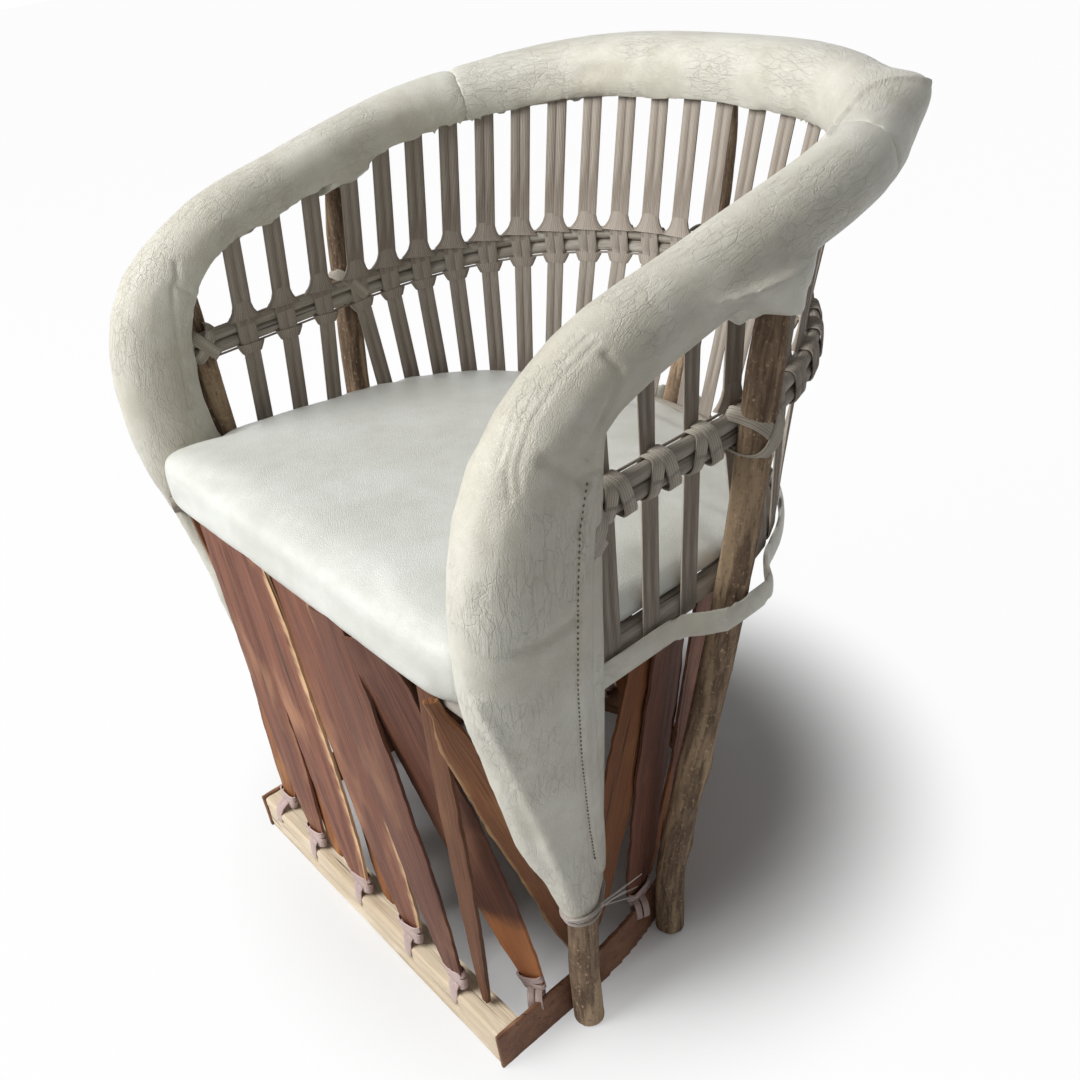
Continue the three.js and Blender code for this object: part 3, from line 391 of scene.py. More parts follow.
finishes = {
    "leather": leather_finish("leather", (220, 218, 206), (198, 193, 177), 0.38),
    "seat_leather": leather_finish("seat_leather", (220, 222, 216), (204, 205, 196), 0.34, 0.0),
    "red_slat": wood_finish("red_slat", (76, 40, 28), (146, 92, 68), (164, 116, 86), (216, 178, 136)),
    "orange_slat": wood_finish(
        "orange_slat", (104, 58, 28), (160, 100, 54), (186, 132, 80), (226, 180, 126)),
    "pale_wood": wood_finish(
        "pale_wood", (186, 166, 138), (228, 212, 186), (240, 228, 206), (240, 228, 206)),
    # The bent strip's colours are darker than its wood alone. They are partly its own mauve-brown, and
    # partly painted shade for the shadow that lies on it.
    "strip_wood": wood_finish("strip_wood", (96, 62, 44), (140, 98, 72), (164, 124, 94), (196, 160, 126)),
    "rod": wood_finish("rod", (138, 130, 118), (186, 178, 166), (204, 198, 188), (180, 176, 166)),
    "bark": bark_finish("bark", (90, 72, 58), (142, 120, 98), (174, 150, 122)),
    "lacing": cord_finish("lacing", (148, 136, 124), (190, 180, 168)),
    "string": cord_finish("string", (168, 158, 150), (206, 198, 192), 0.0008),
    "thread": cord_finish("thread", (104, 92, 78), (140, 126, 108), 0.0008),
    "pale_lacing": cord_finish("pale_lacing", (172, 162, 148), (208, 200, 186), 0.0014),
    "thong": cord_finish("thong", (188, 160, 154), (222, 200, 194), 0.0009),
}


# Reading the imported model
def corner_points(node):
    """All corner points of a model node, one row each."""
    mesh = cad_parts[node].data
    points = np.empty(len(mesh.vertices) * 3)
    mesh.vertices.foreach_get("co", points)
    return points.reshape(-1, 3)


def edge_ends(node):
    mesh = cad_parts[node].data
    ends = np.empty(len(mesh.edges) * 2, dtype=np.int32)
    mesh.edges.foreach_get("vertices", ends)
    return ends.reshape(-1, 2)


def plane_cuts(node, point, normal):
    """Points where a plane cuts the edges of a model node."""
    corners = corner_points(node)
    ends = edge_ends(node)
    away = (corners - np.array(point)) @ np.array(normal)
    first, last = away[ends[:, 0]], away[ends[:, 1]]
    crossed = (first * last) < 0
    share = (first[crossed] / (first[crossed] - last[crossed]))[:, None]
    return corners[ends[crossed, 0]] * (1 - share) + corners[ends[crossed, 1]] * share


def section(node, point, normal, ahead=None):
    """Middle and half width of the cut that a plane makes through a node, or None."""
    cuts = plane_cuts(node, point, normal)
    if ahead is not None and len(cuts):
        cuts = cuts[(cuts - np.array(point)) @ np.array(ahead) > 0]
    if not len(cuts):
        return None
    low, high = cuts.min(0), cuts.max(0)
    return Vector((low + high) / 2), float(max(high - low)) / 2


def hull(points):
    """Outline round level points, anticlockwise."""
    ordered = sorted({(round(float(x), 6), round(float(y), 6)) for x, y in points})

    def half(run):
        chain = []
        for x, y in run:
            while len(chain) > 1:
                (ax, ay), (bx, by) = chain[-2], chain[-1]
                if (bx - ax) * (y - ay) - (by - ay) * (x - ax) > 0:
                    break
                chain.pop()
            chain.append((x, y))
        return chain[:-1]

    return half(ordered) + half(ordered[::-1])


def even_ring(outline, count):
    """A closed outline with evenly spaced points, from its rearmost point on."""
    first = max(range(len(outline)), key=lambda i: outline[i][1])
    turned = outline[first:] + outline[:first] + [outline[first]]
    line = Line([(x, y, 0) for x, y in turned])
    return [line.at(i / count)[0] for i in range(count)]


def upright_line(node, steps=16):
    """Middles and half widths of a post, from the floor up."""
    low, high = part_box(node)
    end_share = 0.004
    stations = []
    for i in range(steps + 1):
        height = low.z + (high.z - low.z) * (end_share + (1 - 2 * end_share) * i / steps)
        stations.append(section(node, (0, 0, height), (0, 0, 1)))
    return stations


def hoop_line(node, first_degrees, last_degrees=None):
    """Middles and half widths of a bent hoop, from its right front end round the back."""
    last_degrees = 180 - first_degrees if last_degrees is None else last_degrees
    steps = round((last_degrees - first_degrees) / hoop_step_degrees)
    stations = []
    for i in range(steps + 1):
        angle = math.radians(first_degrees + (last_degrees - first_degrees) * i / steps)
        ahead = (math.cos(angle), math.sin(angle), 0)
        found = section(node, (0, hoop_middle_y, 0), (-math.sin(angle), math.cos(angle), 0), ahead)
        if found:
            stations.append(found)
    return stations


class Line:
    """A line through points, asked for places by the share of its length."""

    def __init__(self, points):
        self.points = [Vector(point) for point in points]
        self.reach = [0.0]
        for before, after in zip(self.points, self.points[1:]):
            self.reach.append(self.reach[-1] + (after - before).length)
        self.length = self.reach[-1]

    def at(self, share):
        """Place, direction and level outward side at a share of the length."""
        wanted = min(max(share, 0.0), 1.0) * self.length
        last = next((i for i, reach in enumerate(self.reach) if reach >= wanted), len(self.reach) - 1)
        last = max(1, last)
        step = self.reach[last] - self.reach[last - 1]
        inside = (wanted - self.reach[last - 1]) / step if step else 0
        place = self.points[last - 1].lerp(self.points[last], inside)
        before = self.points[max(0, last - 2)]
        after = self.points[min(len(self.points) - 1, last + 1)]
        direction = (after - before).normalized()
        side = direction.cross(up).normalized()
        return place, direction, side

    def share_at_y(self, y):
        """Share on the right half where the line passes a given Y."""
        for i in range(1, len(self.points)):
            if self.points[i].y >= y:
                step = self.points[i].y - self.points[i - 1].y
                inside = (y - self.points[i - 1].y) / step if step else 0
                return (self.reach[i - 1] + (self.reach[i] - self.reach[i - 1]) * inside) / self.length
        return 0.5

    def at_height(self, height):
        """The line's own point that is nearest to a height."""
        return min(self.points, key=lambda point: abs(point.z - height))

    def nearest_to(self, point, steps):
        """Place, direction and side of the line at the step that is nearest to a point."""
        return self.at(min(range(steps + 1), key=lambda i: (self.at(i / steps)[0] - point).length) / steps)


# Making pieces
def link(piece):
    scene.collection.objects.link(piece)
    return piece


def settle(piece):
    """Turns a piece and its modifiers into a plain mesh."""
    depsgraph = bpy.context.evaluated_depsgraph_get()
    made = bpy.data.meshes.new_from_object(
        piece.evaluated_get(depsgraph), preserve_all_data_layers=True, depsgraph=depsgraph)
    piece.modifiers.clear()
    piece.data = made
    made.name = piece.name
    return piece


def grow(name, tree, start, sizes):
    """Runs a node tree on a starting mesh and keeps the plain mesh that it makes."""
    piece = link(bpy.data.objects.new(name, start))
    modifier = piece.modifiers.new(tree.name, "NODES")
    modifier.node_group = tree
    for item in tree.interface.items_tree:
        if item.item_type == "SOCKET" and item.in_out == "INPUT" and item.name in sizes:
            modifier[item.identifier] = sizes[item.name]
    return settle(piece)


def rounded(piece, degrees=40):
    """Smooth shading with sharp edges where the faces turn more than an angle."""
    piece.data.polygons.foreach_set("use_smooth", [True] * len(piece.data.polygons))
    piece.data.set_sharp_from_angle(angle=math.radians(degrees))
    return piece


def keep(piece, nodes=(), finish=None):
    """Fixes a finished piece to the chair's body, gives it its finish if one is named, and hides the model
    nodes that it stands for.
    """
    if finish is not None:
        piece.data.materials.clear()
        piece.data.materials.append(finishes[finish])
    if nodes:
        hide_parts(*nodes)
    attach(piece, "root")
    return piece


def route_mesh(name, routes):
    """A mesh of bare lines, with the way each point faces and its girth."""
    mesh = bpy.data.meshes.new(name)
    points, edges, facing, girth = [], [], [], []
    for route in routes:
        first = len(points)
        count = len(route["points"])
        points += [tuple(point) for point in route["points"]]
        edges += [(first + i, first + i + 1) for i in range(count - 1)]
        if route.get("closed"):
            edges.append((first + count - 1, first))
        facing += [tuple(way) for way in route.get("facing", [up] * count)]
        girth += list(route.get("girth", [1.0] * count))
    mesh.from_pydata(points, edges, [])
    ways = mesh.attributes.new("facing", "FLOAT_VECTOR", "POINT")
    ways.data.foreach_set("vector", [part for way in facing for part in way])
    widths = mesh.attributes.new("girth", "FLOAT", "POINT")
    widths.data.foreach_set("value", girth)
    return mesh


def new_tree(name, sizes):
    """An empty geometry tree with named inputs and its group nodes."""
    tree = bpy.data.node_groups.new(name, "GeometryNodeTree")
    tree.interface.new_socket("Start", in_out="INPUT", socket_type="NodeSocketGeometry")
    for label, kind in sizes.items():
        tree.interface.new_socket(label, in_out="INPUT", socket_type="NodeSocket" + kind)
    tree.interface.new_socket("Piece", in_out="OUTPUT", socket_type="NodeSocketGeometry")
    given = tree.nodes.new("NodeGroupInput")
    return tree, given.outputs


def end_tree(tree, geometry, finish):
    """Realizes what the tree made, gives it its material and sends it out."""
    real = add(tree, "GeometryNodeRealizeInstances", {"Geometry": geometry})
    dressed = add(tree, "GeometryNodeSetMaterial", {"Geometry": real, "Material": finish})
    output = tree.nodes.new("NodeGroupOutput")
    tree.links.new(dressed.outputs[0], output.inputs[0])
    return tree


def named(tree, name, kind="FLOAT"):
    return add(tree, "GeometryNodeInputNamedAttribute", {"Name": name}, data_type=kind)


def caught(tree, geometry, value, kind="FLOAT"):
    """Captures a value on a geometry, and returns both."""
    node = tree.nodes.new("GeometryNodeCaptureAttribute")
    node.capture_items.new(kind, "Caught")
    tree.links.new(next(o for o in geometry.outputs if o.enabled), node.inputs[0])
    tree.links.new(value, node.inputs[1])
    return node, node.outputs[1]


def stored(tree, geometry, name, value, kind="FLOAT"):
    return add(tree, "GeometryNodeStoreNamedAttribute", {
        "Geometry": geometry, "Name": name, "Value": value}, data_type=kind, domain="POINT")


def own_place(tree):
    return tree.nodes.new("GeometryNodeInputPosition").outputs[0]


def swept_along(tree, curve, outline):
    """Sweeps an outline along a curve by its girth, with each point's place across and along it."""
    spline = tree.nodes.new("GeometryNodeSplineParameter")
    curve, along = caught(tree, curve, spline.outputs["Length"])
    outline, place = caught(tree, outline, own_place(tree), "VECTOR")
    swept = add(tree, "GeometryNodeCurveToMesh", {
        "Curve": curve.outputs[0], "Profile Curve": outline.outputs[0], "Scale": named(tree, "girth"),
        "Fill Caps": True})
    parts = add(tree, "ShaderNodeSeparateXYZ", {0: place})
    return swept, parts.outputs[0], parts.outputs[1], along


def raised(tree, geometry, rise):
    """Moves a surface out along its normals."""
    normal = tree.nodes.new("GeometryNodeInputNormal").outputs[0]
    outward = add(tree, "ShaderNodeVectorMath", {0: normal, "Scale": rise}, operation="SCALE").outputs[0]
    return add(tree, "GeometryNodeSetPosition", {"Geometry": geometry, "Offset": outward})


def flat_cord_tree():
    """Sweeps a flat cord with rounded edges along each line."""
    tree, given = new_tree("flat_cord", {
        "Width": "Float", "Thickness": "Float", "Step": "Float", "Finish": "Material"})
    curve = add(tree, "GeometryNodeMeshToCurve", {"Mesh": given["Start"]})
    curve = add(tree, "GeometryNodeResampleCurve", {"Curve": curve, "Length": given["Step"]}, mode="LENGTH")
    curve = add(tree, "GeometryNodeSetCurveNormal", {
        "Curve": curve, "Normal": named(tree, "facing", "FLOAT_VECTOR")}, mode="FREE")
    outline = add(tree, "GeometryNodeCurvePrimitiveQuadrilateral", {
        "Width": given["Thickness"], "Height": given["Width"]})
    edge = times(tree, given["Thickness"], 0.4)
    outline = add(tree, "GeometryNodeFilletCurve", {
        "Curve": outline, "Radius": edge, "Count": 2}, mode="POLY")
    swept, through, across, along = swept_along(tree, curve, outline)
    grain = vector(tree, through, across, along)
    return end_tree(tree, stored(tree, swept, "grain", grain, "FLOAT_VECTOR"), given["Finish"])


def stick_tree():
    """Sweeps a round stick along each line, with furrowed bark and knots in its surface."""
    tree, given = new_tree("stick", {
        "Step": "Float", "Sides": "Int", "Bark": "Float", "Knots": "Float", "Seed": "Float",
        "Finish": "Material"})
    curve = add(tree, "GeometryNodeMeshToCurve", {"Mesh": given["Start"]})
    curve = add(tree, "GeometryNodeCurveSplineType", {"Curve": curve}, spline_type="CATMULL_ROM")
    curve = add(tree, "GeometryNodeResampleCurve", {"Curve": curve, "Length": given["Step"]}, mode="LENGTH")
    outline = add(tree, "GeometryNodeCurvePrimitiveCircle", {"Radius": 1.0, "Resolution": given["Sides"]})
    swept, across, over, along = swept_along(tree, curve, outline)
    usual_radius = 0.013
    grain = vector(
        tree, times(tree, across, usual_radius), times(tree, over, usual_radius),
        plus(tree, along, given["Seed"]))
    furrows = noise(tree, stretched(tree, grain, 190, 190, 18), 3.0, 0.6)
    swells = noise(tree, stretched(tree, grain, 26, 26, 9), 2.0, 0.5, 4.0)
    cells = add(tree, "ShaderNodeTexVoronoi", {
        "Vector": stretched(tree, grain, 34, 34, 9), "Scale": 1.0}, feature="F1")
    draw = add(tree, "ShaderNodeSeparateXYZ", {0: cells.outputs["Color"]}).outputs[0]
    chosen = calc(tree, "GREATER_THAN", draw, 0.72)
    knot = times(tree, faded(tree, cells.outputs["Distance"], 0.34, 0.08), chosen)
    furrowed = times(tree, minus(tree, furrows, 0.62), given["Bark"])
    swelled = times(tree, minus(tree, swells, 0.55), times(tree, given["Bark"], 1.6))
    rise = plus(tree, plus(tree, furrowed, swelled), times(tree, knot, given["Knots"]))
    geometry = stored(tree, swept, "grain", grain, "FLOAT_VECTOR")
    geometry = stored(tree, geometry, "knot", knot)
    return end_tree(tree, raised(tree, geometry, rise), given["Finish"])


def split_slat_tree():
    """A split slat standing on its middle: pointed ends, ragged edges, lifted fibres and a slight bow."""
    tree, given = new_tree("split_slat", {
        "Length": "Float", "Width": "Float", "Thickness": "Float", "Ragged": "Float", "Bow": "Float",
        "Splinter": "Float", "Sap side": "Float", "Shade": "Float", "Peeled": "Float", "Seed": "Float",
        "Finish": "Material"})
    size = vector(tree, given["Width"], given["Thickness"], given["Length"])
    block = add(tree, "GeometryNodeMeshCube", {
        "Size": size, "Vertices X": 17, "Vertices Y": 3, "Vertices Z": 84})
    block, start = caught(tree, block, own_place(tree), "VECTOR")
    x, y, z = add(tree, "ShaderNodeSeparateXYZ", {0: start}).outputs
    across = calc(tree, "DIVIDE", x, given["Width"])
    through = calc(tree, "DIVIDE", y, given["Thickness"])
    along = calc(tree, "DIVIDE", z, given["Length"])
    near_end = faded(tree, calc(tree, "ABSOLUTE", along), 0.44, 0.5)
    own_height = plus(tree, z, given["Seed"])
    grain = vector(tree, x, y, own_height)
    side = calc(tree, "SIGN", across)
    at_edge = faded(tree, calc(tree, "ABSOLUTE", across), 0.2, 0.5)
    edge_line = vector(tree, times(tree, side, 3.0), 0.0, times(tree, own_height, 24.0))
    edge_noise = minus(tree, noise(tree, edge_line, 5.0, 0.6), 0.56)
    edge_depth = times(tree, edge_noise, times(tree, given["Ragged"], 4.0))
    edge_shift = times(tree, times(tree, side, at_edge), edge_depth)
    wander_line = vector(tree, 0.0, 5.0, times(tree, own_height, 6.0))
    wander_reach = times(tree, given["Ragged"], 3.0)
    wander = times(tree, minus(tree, noise(tree, wander_line, 1.0), 0.5), wander_reach)
    fibres = minus(tree, noise(tree, stretched(tree, grain, 330, 330, 9), 3.0, 0.6), 0.5)
    fibre_depth = times(tree, given["Thickness"], 0.5)
    relief = times(tree, times(tree, fibres, calc(tree, "SIGN", through)), fibre_depth)
    off_middle = calc(tree, "ABSOLUTE", times(tree, along, 2.0))
    belly = minus(tree, 1.0, calc(tree, "POWER", off_middle, 2.0))
    bow = times(tree, belly, given["Bow"])
    end_line = vector(tree, times(tree, across, 7.0), times(tree, through, 2.0), given["Seed"])
    end_reach = times(tree, calc(tree, "SIGN", along), given["Splinter"])
    ends = times(tree, times(tree, noise(tree, end_line, 3.0, 0.7), near_end), end_reach)
    shift = vector(
        tree, plus(tree, edge_shift, wander), plus(tree, relief, bow), times(tree, ends, -1.0))
    edge_place = plus(tree, times(tree, across, given["Sap side"]), times(tree, edge_noise, 0.3))
    bare_line = plus(tree, along, times(tree, edge_noise, 0.12))
    geometry = stored(tree, block, "grain", grain, "FLOAT_VECTOR")
    geometry = stored(tree, geometry, "sap", faded(tree, edge_place, 0.40, 0.44))
    # The stored amount is a random tone for each slat, and painted shade on inner_front_slat_4.
    geometry = stored(tree, geometry, "shade", given["Shade"])
    geometry = stored(tree, geometry, "peeled", times(
        tree, given["Peeled"], faded(tree, bare_line, -0.24, -0.30)))
    geometry = add(tree, "GeometryNodeSetPosition", {"Geometry": geometry, "Offset": shift})
    return end_tree(tree, geometry, given["Finish"])


flat_cord = flat_cord_tree()
stick = stick_tree()
split_slat = split_slat_tree()


# Posts, hoops and rods
def stick_piece(name, node, stations, finish, bark, knots, seed, sides=20, step=0.005):
    line = {
        "points": [station[0] for station in stations],
        "girth": [station[1] for station in stations],
    }
    piece = grow(name, stick, route_mesh(name, [line]), {
        "Step": step, "Sides": sides, "Bark": bark, "Knots": knots, "Seed": seed,
        "Finish": finishes[finish]})
    rounded(piece, 50)
    return keep(piece, [node])


def even_girth(stations, radius):
    return [(station[0], radius) for station in stations]


def make_posts():
    """The five barked sticks, thinner where the leather hides their tops."""
    top_radii = {
        "front_post_right": 0.0130, "front_post_left": 0.0155, "rear_post_right": 0.0142,
        "rear_post_left": 0.0142, "centre_back_post": 0.0115}
    rear_top_share = 0.6
    lines = {}
    for i, (node, top_radius) in enumerate(top_radii.items()):
        stations = upright_line(node)
        last = len(stations) - 1
        if node.startswith("rear"):
            lowered = stations[-2][0].lerp(stations[-1][0], rear_top_share)
            stations[-1] = (lowered, stations[-1][1])
        girths = []
        for k, station in enumerate(stations):
            hidden = max(0.0, (k / last - (1 - post_hidden_share)) / post_hidden_share)
            radius = foot_radius + (top_radius - foot_radius) * k / last
            girths.append((station[0], radius * (1 - post_hidden_taper * hidden)))
        lines[node] = Line([station[0] for station in stations])
        stick_piece(
            "stick_" + node, node, girths, "bark", bark=0.0024, knots=0.0035, seed=1.7 * i + 0.4,
            sides=24, step=0.004)
    return lines


def closed_ends(node, stations):
    """Adds a hoop's two front ends to its stations."""
    corners = corner_points(node)
    tip_depth = 0.002
    tips = corners[corners[:, 1] < corners[:, 1].min() + tip_depth]
    right = Vector(tips[tips[:, 0] > 0].mean(0))
    left = Vector(tips[tips[:, 0] < 0].mean(0))
    return [(right, stations[0][1])] + stations + [(left, stations[-1][1])]


def make_hoops():
    """The seat hoop, its front bar and the two back rods as smooth sticks, and the lines they follow."""
    seat = closed_ends("seat_hoop", hoop_line("seat_hoop", seat_hoop_start))
    hoop = even_girth(seat, seat_hoop_radius)
    stick_piece("stick_seat_hoop", "seat_hoop", hoop, "rod", 0.0008, 0.001, 3.1)
    low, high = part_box("seat_front_bar")
    middle = (low + high) / 2
    bar = [(Vector((x, middle.y, middle.z)), seat_hoop_radius) for x in (low.x, high.x)]
    stick_piece("stick_seat_front_bar", "seat_front_bar", bar, "rod", 0.0008, 0.001, 5.2)
    rods = []
    for i, node in enumerate(["lower_back_rod", "upper_back_rod"]):
        stations = closed_ends(node, hoop_line(node, rod_start))
        rods.append([station[0] for station in stations])
        round_rod = even_girth(stations, rod_stick_radius)
        stick_piece("stick_" + node, node, round_rod, "rod", 0.0006, 0.0008, 7.3 + i, 14)
    core = hoop_line("roll_core", core_start)
    between = [(low + high) / 2 for low, high in zip(*rods)]
    return Line([station[0] for station in seat]), Line(between), Line([station[0] for station in core])


# Slats
def slat_frame(node):
    """Middle, size and turning matrix of a slat: across, outward and up its length."""
    corners = corner_points(node)
    middle = (corners.min(0) + corners.max(0)) / 2
    ways = np.linalg.eigh(np.cov((corners - corners.mean(0)).T))[1]
    length_way = Vector(ways[:, 2])
    width_way = Vector(ways[:, 1])
    if length_way.z < 0:
        length_way.negate()
    out = width_way.cross(length_way)
    outward = Vector((middle[0], middle[1] - hoop_middle_y, 0))
    if middle[1] < front_slats_y:
        outward = Vector((0, -1, 0))
    if -out.dot(outward) < 0:
        width_way.negate()
        out.negate()
    turned = np.array([width_way, -out, length_way])
    reach = (corners - middle) @ turned.T
    size = reach.max(0) - reach.min(0)
    matrix = Matrix((width_way, -out, length_way)).transposed().to_4x4()
    matrix.translation = Vector(middle) + matrix.to_3x3() @ Vector((reach.max(0) + reach.min(0)) / 2)
    return matrix, size


def slat_outline(node, matrix, size, stations=24):
    """Heights along a slat with its middle across, its middle through and its half width there."""
    turn = np.array(matrix.to_3x3())
    end_share = 0.002
    rows = []
    for i in range(stations + 1):
        height = size[2] * (end_share + (1 - 2 * end_share) * i / stations - 0.5)
        point = matrix @ Vector((0, 0, height))
        cuts = (plane_cuts(node, point, turn[:, 2]) - np.array(matrix.translation)) @ turn
        low, high = cuts.min(0), cuts.max(0)
        rows.append((height, (low[0] + high[0]) / 2, (low[1] + high[1]) / 2, (high[0] - low[0]) / 2))
    return np.array(rows)


def shaped(piece, outline, width, shift):
    """Gives a straight slat the model's outline, and thinner edges."""
    points = places(piece)
    heights, across, through, half = outline.T
    share = points[:, 0] / (width / 2)
    thin = 1 - 0.5 * np.minimum(np.abs(share), 1) ** 3
    height = points[:, 2].copy()
    points[:, 0] = np.interp(height, heights, across) + share * np.interp(height, heights, half)
    points[:, 1] = np.interp(height, heights, through) + points[:, 1] * thin + shift
    put(piece, points)


def make_slats():
    """One split slat for each slat of the model."""
    nodes = sorted(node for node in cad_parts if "_slat_" in node)
    sap_sides = {"outer_front_slat_2": -1.0, "outer_front_slat_3": -1.0, "outer_barrel_slat_4": -1.0,
                 "outer_barrel_slat_7": 1.0, "outer_corner_slat_2": 1.0}
    # The inner slat that is darkened with painted shade and is left without overlap.
    shade_painted_slat = "inner_front_slat_4"
    thicker = 1.35
    feet = {}
    for i, node in enumerate(nodes):
        matrix, size = slat_frame(node)
        outer = node.startswith("outer")
        finish = "red_slat" if outer and node != "outer_corner_slat_2" else "orange_slat"
        name = "split_" + node
        width = float(size[0])
        longer = 0.0 if "barrel" in node else slat_under_leather
        # Each slat gets a random tone. inner_front_slat_4 gets a much larger amount: painted shade, so that
        # it reads as lying in the barrel's shadow.
        shade = 1.6 if node == shade_painted_slat else 0.5 + 0.5 * math.sin(5.1 * i + 1.3)
        piece = grow(name, split_slat, bpy.data.meshes.new(name), {
            "Length": float(size[2]) + longer, "Width": width, "Thickness": float(size[1]) * thicker,
            "Ragged": 0.0030, "Bow": 0.0010 * math.sin(2.3 * i), "Splinter": 0.008,
            "Sap side": sap_sides.get(node, 0.0), "Shade": shade,
            "Peeled": 1.0 if node == "outer_corner_slat_1" else 0.0, "Seed": 1.37 * i,
            "Finish": finishes[finish]})
        piece.data.transform(Matrix.Translation((0, 0, longer / 2)))
        outline = slat_outline(node, matrix, size)
        outline[:, 3] *= 1.0 if node == shade_painted_slat else slat_overlap
        feet[node] = (matrix, outline)
        shaped(piece, outline, width, slat_layer_shift * (1 if i % 2 else -1))
        piece.data.transform(matrix)
        if matrix.determinant() < 0:
            piece.data.flip_normals()
        rounded(piece, 45)
        keep(piece, [node])
    return feet


# Rail and strip
def model_copy(node, name):
    """A merged copy of a model node's mesh, as a new piece."""
    piece = link(bpy.data.objects.new(name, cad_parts[node].data.copy()))
    piece.data.name = name
    piece.data.materials.clear()
    shell = bmesh.new()
    shell.from_mesh(piece.data)
    bmesh.ops.remove_doubles(shell, verts=shell.verts, dist=0.00002)
    bmesh.ops.recalc_face_normals(shell, faces=shell.faces)
    shell.to_mesh(piece.data)
    shell.free()
    return piece


def remeshed(piece, voxel):
    modifier = piece.modifiers.new("Even", "REMESH")
    modifier.mode = "VOXEL"
    modifier.voxel_size = voxel
    return settle(piece)


def places(piece):
    points = np.empty(len(piece.data.vertices) * 3)
    piece.data.vertices.foreach_get("co", points)
    return points.reshape(-1, 3)


def normals(piece):
    ways = np.empty(len(piece.data.vertices) * 3, dtype=np.float32)
    piece.data.vertices.foreach_get("normal", ways)
    return ways.reshape(-1, 3).astype(float)


def put(piece, points):
    piece.data.vertices.foreach_set("co", points.ravel())
    piece.data.update()


def surface_of(mesh):
    """A mesh's faces, to find the nearest place on them or the place that a ray hits."""
    return BVHTree.FromPolygons(
        [point.co for point in mesh.vertices], [face.vertices for face in mesh.polygons])


def stitch_tree():
    """Small thread stitches evenly along each line."""
    tree, given = new_tree("stitch", {"Spacing": "Float", "Length": "Float", "Finish": "Material"})
    curve = add(tree, "GeometryNodeMeshToCurve", {"Mesh": given["Start"]})
    dots = add(tree, "GeometryNodeCurveToPoints", {
        "Curve": curve, "Length": given["Spacing"]}, mode="LENGTH")
    thread = add(tree, "GeometryNodeMeshIcoSphere", {"Radius": 1.0, "Subdivisions": 1})
    size = vector(tree, *[times(tree, given["Length"], share) for share in (0.28, 0.28, 0.5)])
    placed = add(tree, "GeometryNodeInstanceOnPoints", {
        "Points": dots.outputs["Points"], "Instance": thread.outputs[0],
        "Rotation": dots.outputs["Rotation"], "Scale": size})
    return end_tree(tree, placed, given["Finish"])


stitch = stitch_tree()


def weathered_tree():
    """Lifts the fibres of sawn or split wood along a grain that runs level or round a hoop."""
    tree, given = new_tree("weathered_wood", {
        "Depth": "Float", "Round": "Float", "Seed": "Float", "Finish": "Material"})
    x, y, z = add(tree, "ShaderNodeSeparateXYZ", {0: own_place(tree)}).outputs
    fore = minus(tree, y, hoop_middle_y)
    angle = calc(tree, "ARCTAN2", x, fore)
    reach = calc(tree, "SQRT", plus(tree, times(tree, x, x), times(tree, fore, fore)))
    usual_reach = 0.2
    bent = vector(tree, z, reach, plus(tree, times(tree, angle, usual_reach), given["Seed"]))
    level = vector(tree, z, y, plus(tree, x, given["Seed"]))
    grain = add(tree, "ShaderNodeMix", {
        "Factor": given["Round"], "A": level, "B": bent}, data_type="VECTOR").outputs
    grain = next(output for output in grain if output.enabled)
    fibres = noise(tree, stretched(tree, grain, 420, 420, 11), 4.0, 0.65)
    hollows = noise(tree, stretched(tree, grain, 60, 60, 14), 3.0, 0.5, 4.0)
    rise = times(tree, plus(tree, minus(tree, fibres, 0.6), minus(tree, hollows, 0.6)), given["Depth"])
    geometry = stored(tree, given["Start"], "grain", grain, "FLOAT_VECTOR")
    return end_tree(tree, raised(tree, geometry, rise), given["Finish"])


weathered_wood = weathered_tree()


def make_base():
    """The front rail and the bent strip, with their fibres lifted."""
    woods = [("front_rail", "pale_wood", 0.0022, 0.0, 0.3), ("base_hoop", "strip_wood", 0.0009, 1.0, 2.6)]
    for node, finish, depth, bent, seed in woods:
        block = remeshed(model_copy(node, "worn_" + node + "_block"), wood_voxel)
        piece = grow("worn_" + node, weathered_wood, block.data, {
            "Depth": depth, "Round": bent, "Seed": seed, "Finish": finishes[finish]})
        bpy.data.objects.remove(block)
        rounded(piece, 50)
        keep(piece, [node])


# Leather
def camera_axes():
    """The camera's right, above and ahead."""
    yaw, pitch, roll = (math.radians(value) for value in (camera_yaw, camera_pitch, camera_roll))
    ahead = Vector((-math.sin(yaw) * math.cos(pitch), math.cos(yaw) * math.cos(pitch), math.sin(pitch)))
    level = Vector((math.cos(yaw), math.sin(yaw), 0))
    above = level.cross(ahead)
    right = level * math.cos(roll) + above * math.sin(roll)
    return right, above * math.cos(roll) - level * math.sin(roll), ahead


def seen_on(piece, marks, spacing=5.0):
    """Points of a piece under a line of places in the photograph."""
    right, above, ahead = camera_axes()
    focal = camera_lens_mm / sensor_mm * image_side
    tree = surface_of(piece.data)
    line = Line([(across, down, 0) for across, down in marks])
    steps = max(1, round(line.length / spacing))
    found = []
    for i in range(steps + 1):
        spot = line.at(i / steps)[0]
        way = ahead * focal + right * (spot.x - image_side / 2) + above * (image_side / 2 - spot.y)
        hit = tree.ray_cast(Vector(camera_place), way.normalized())[0]
        if hit is not None:
            found.append(hit)
    return found


def eased(piece, rounds):
    modifier = piece.modifiers.new("Ease", "SMOOTH")
    modifier.factor = 0.5
    modifier.iterations = rounds
    return settle(piece)


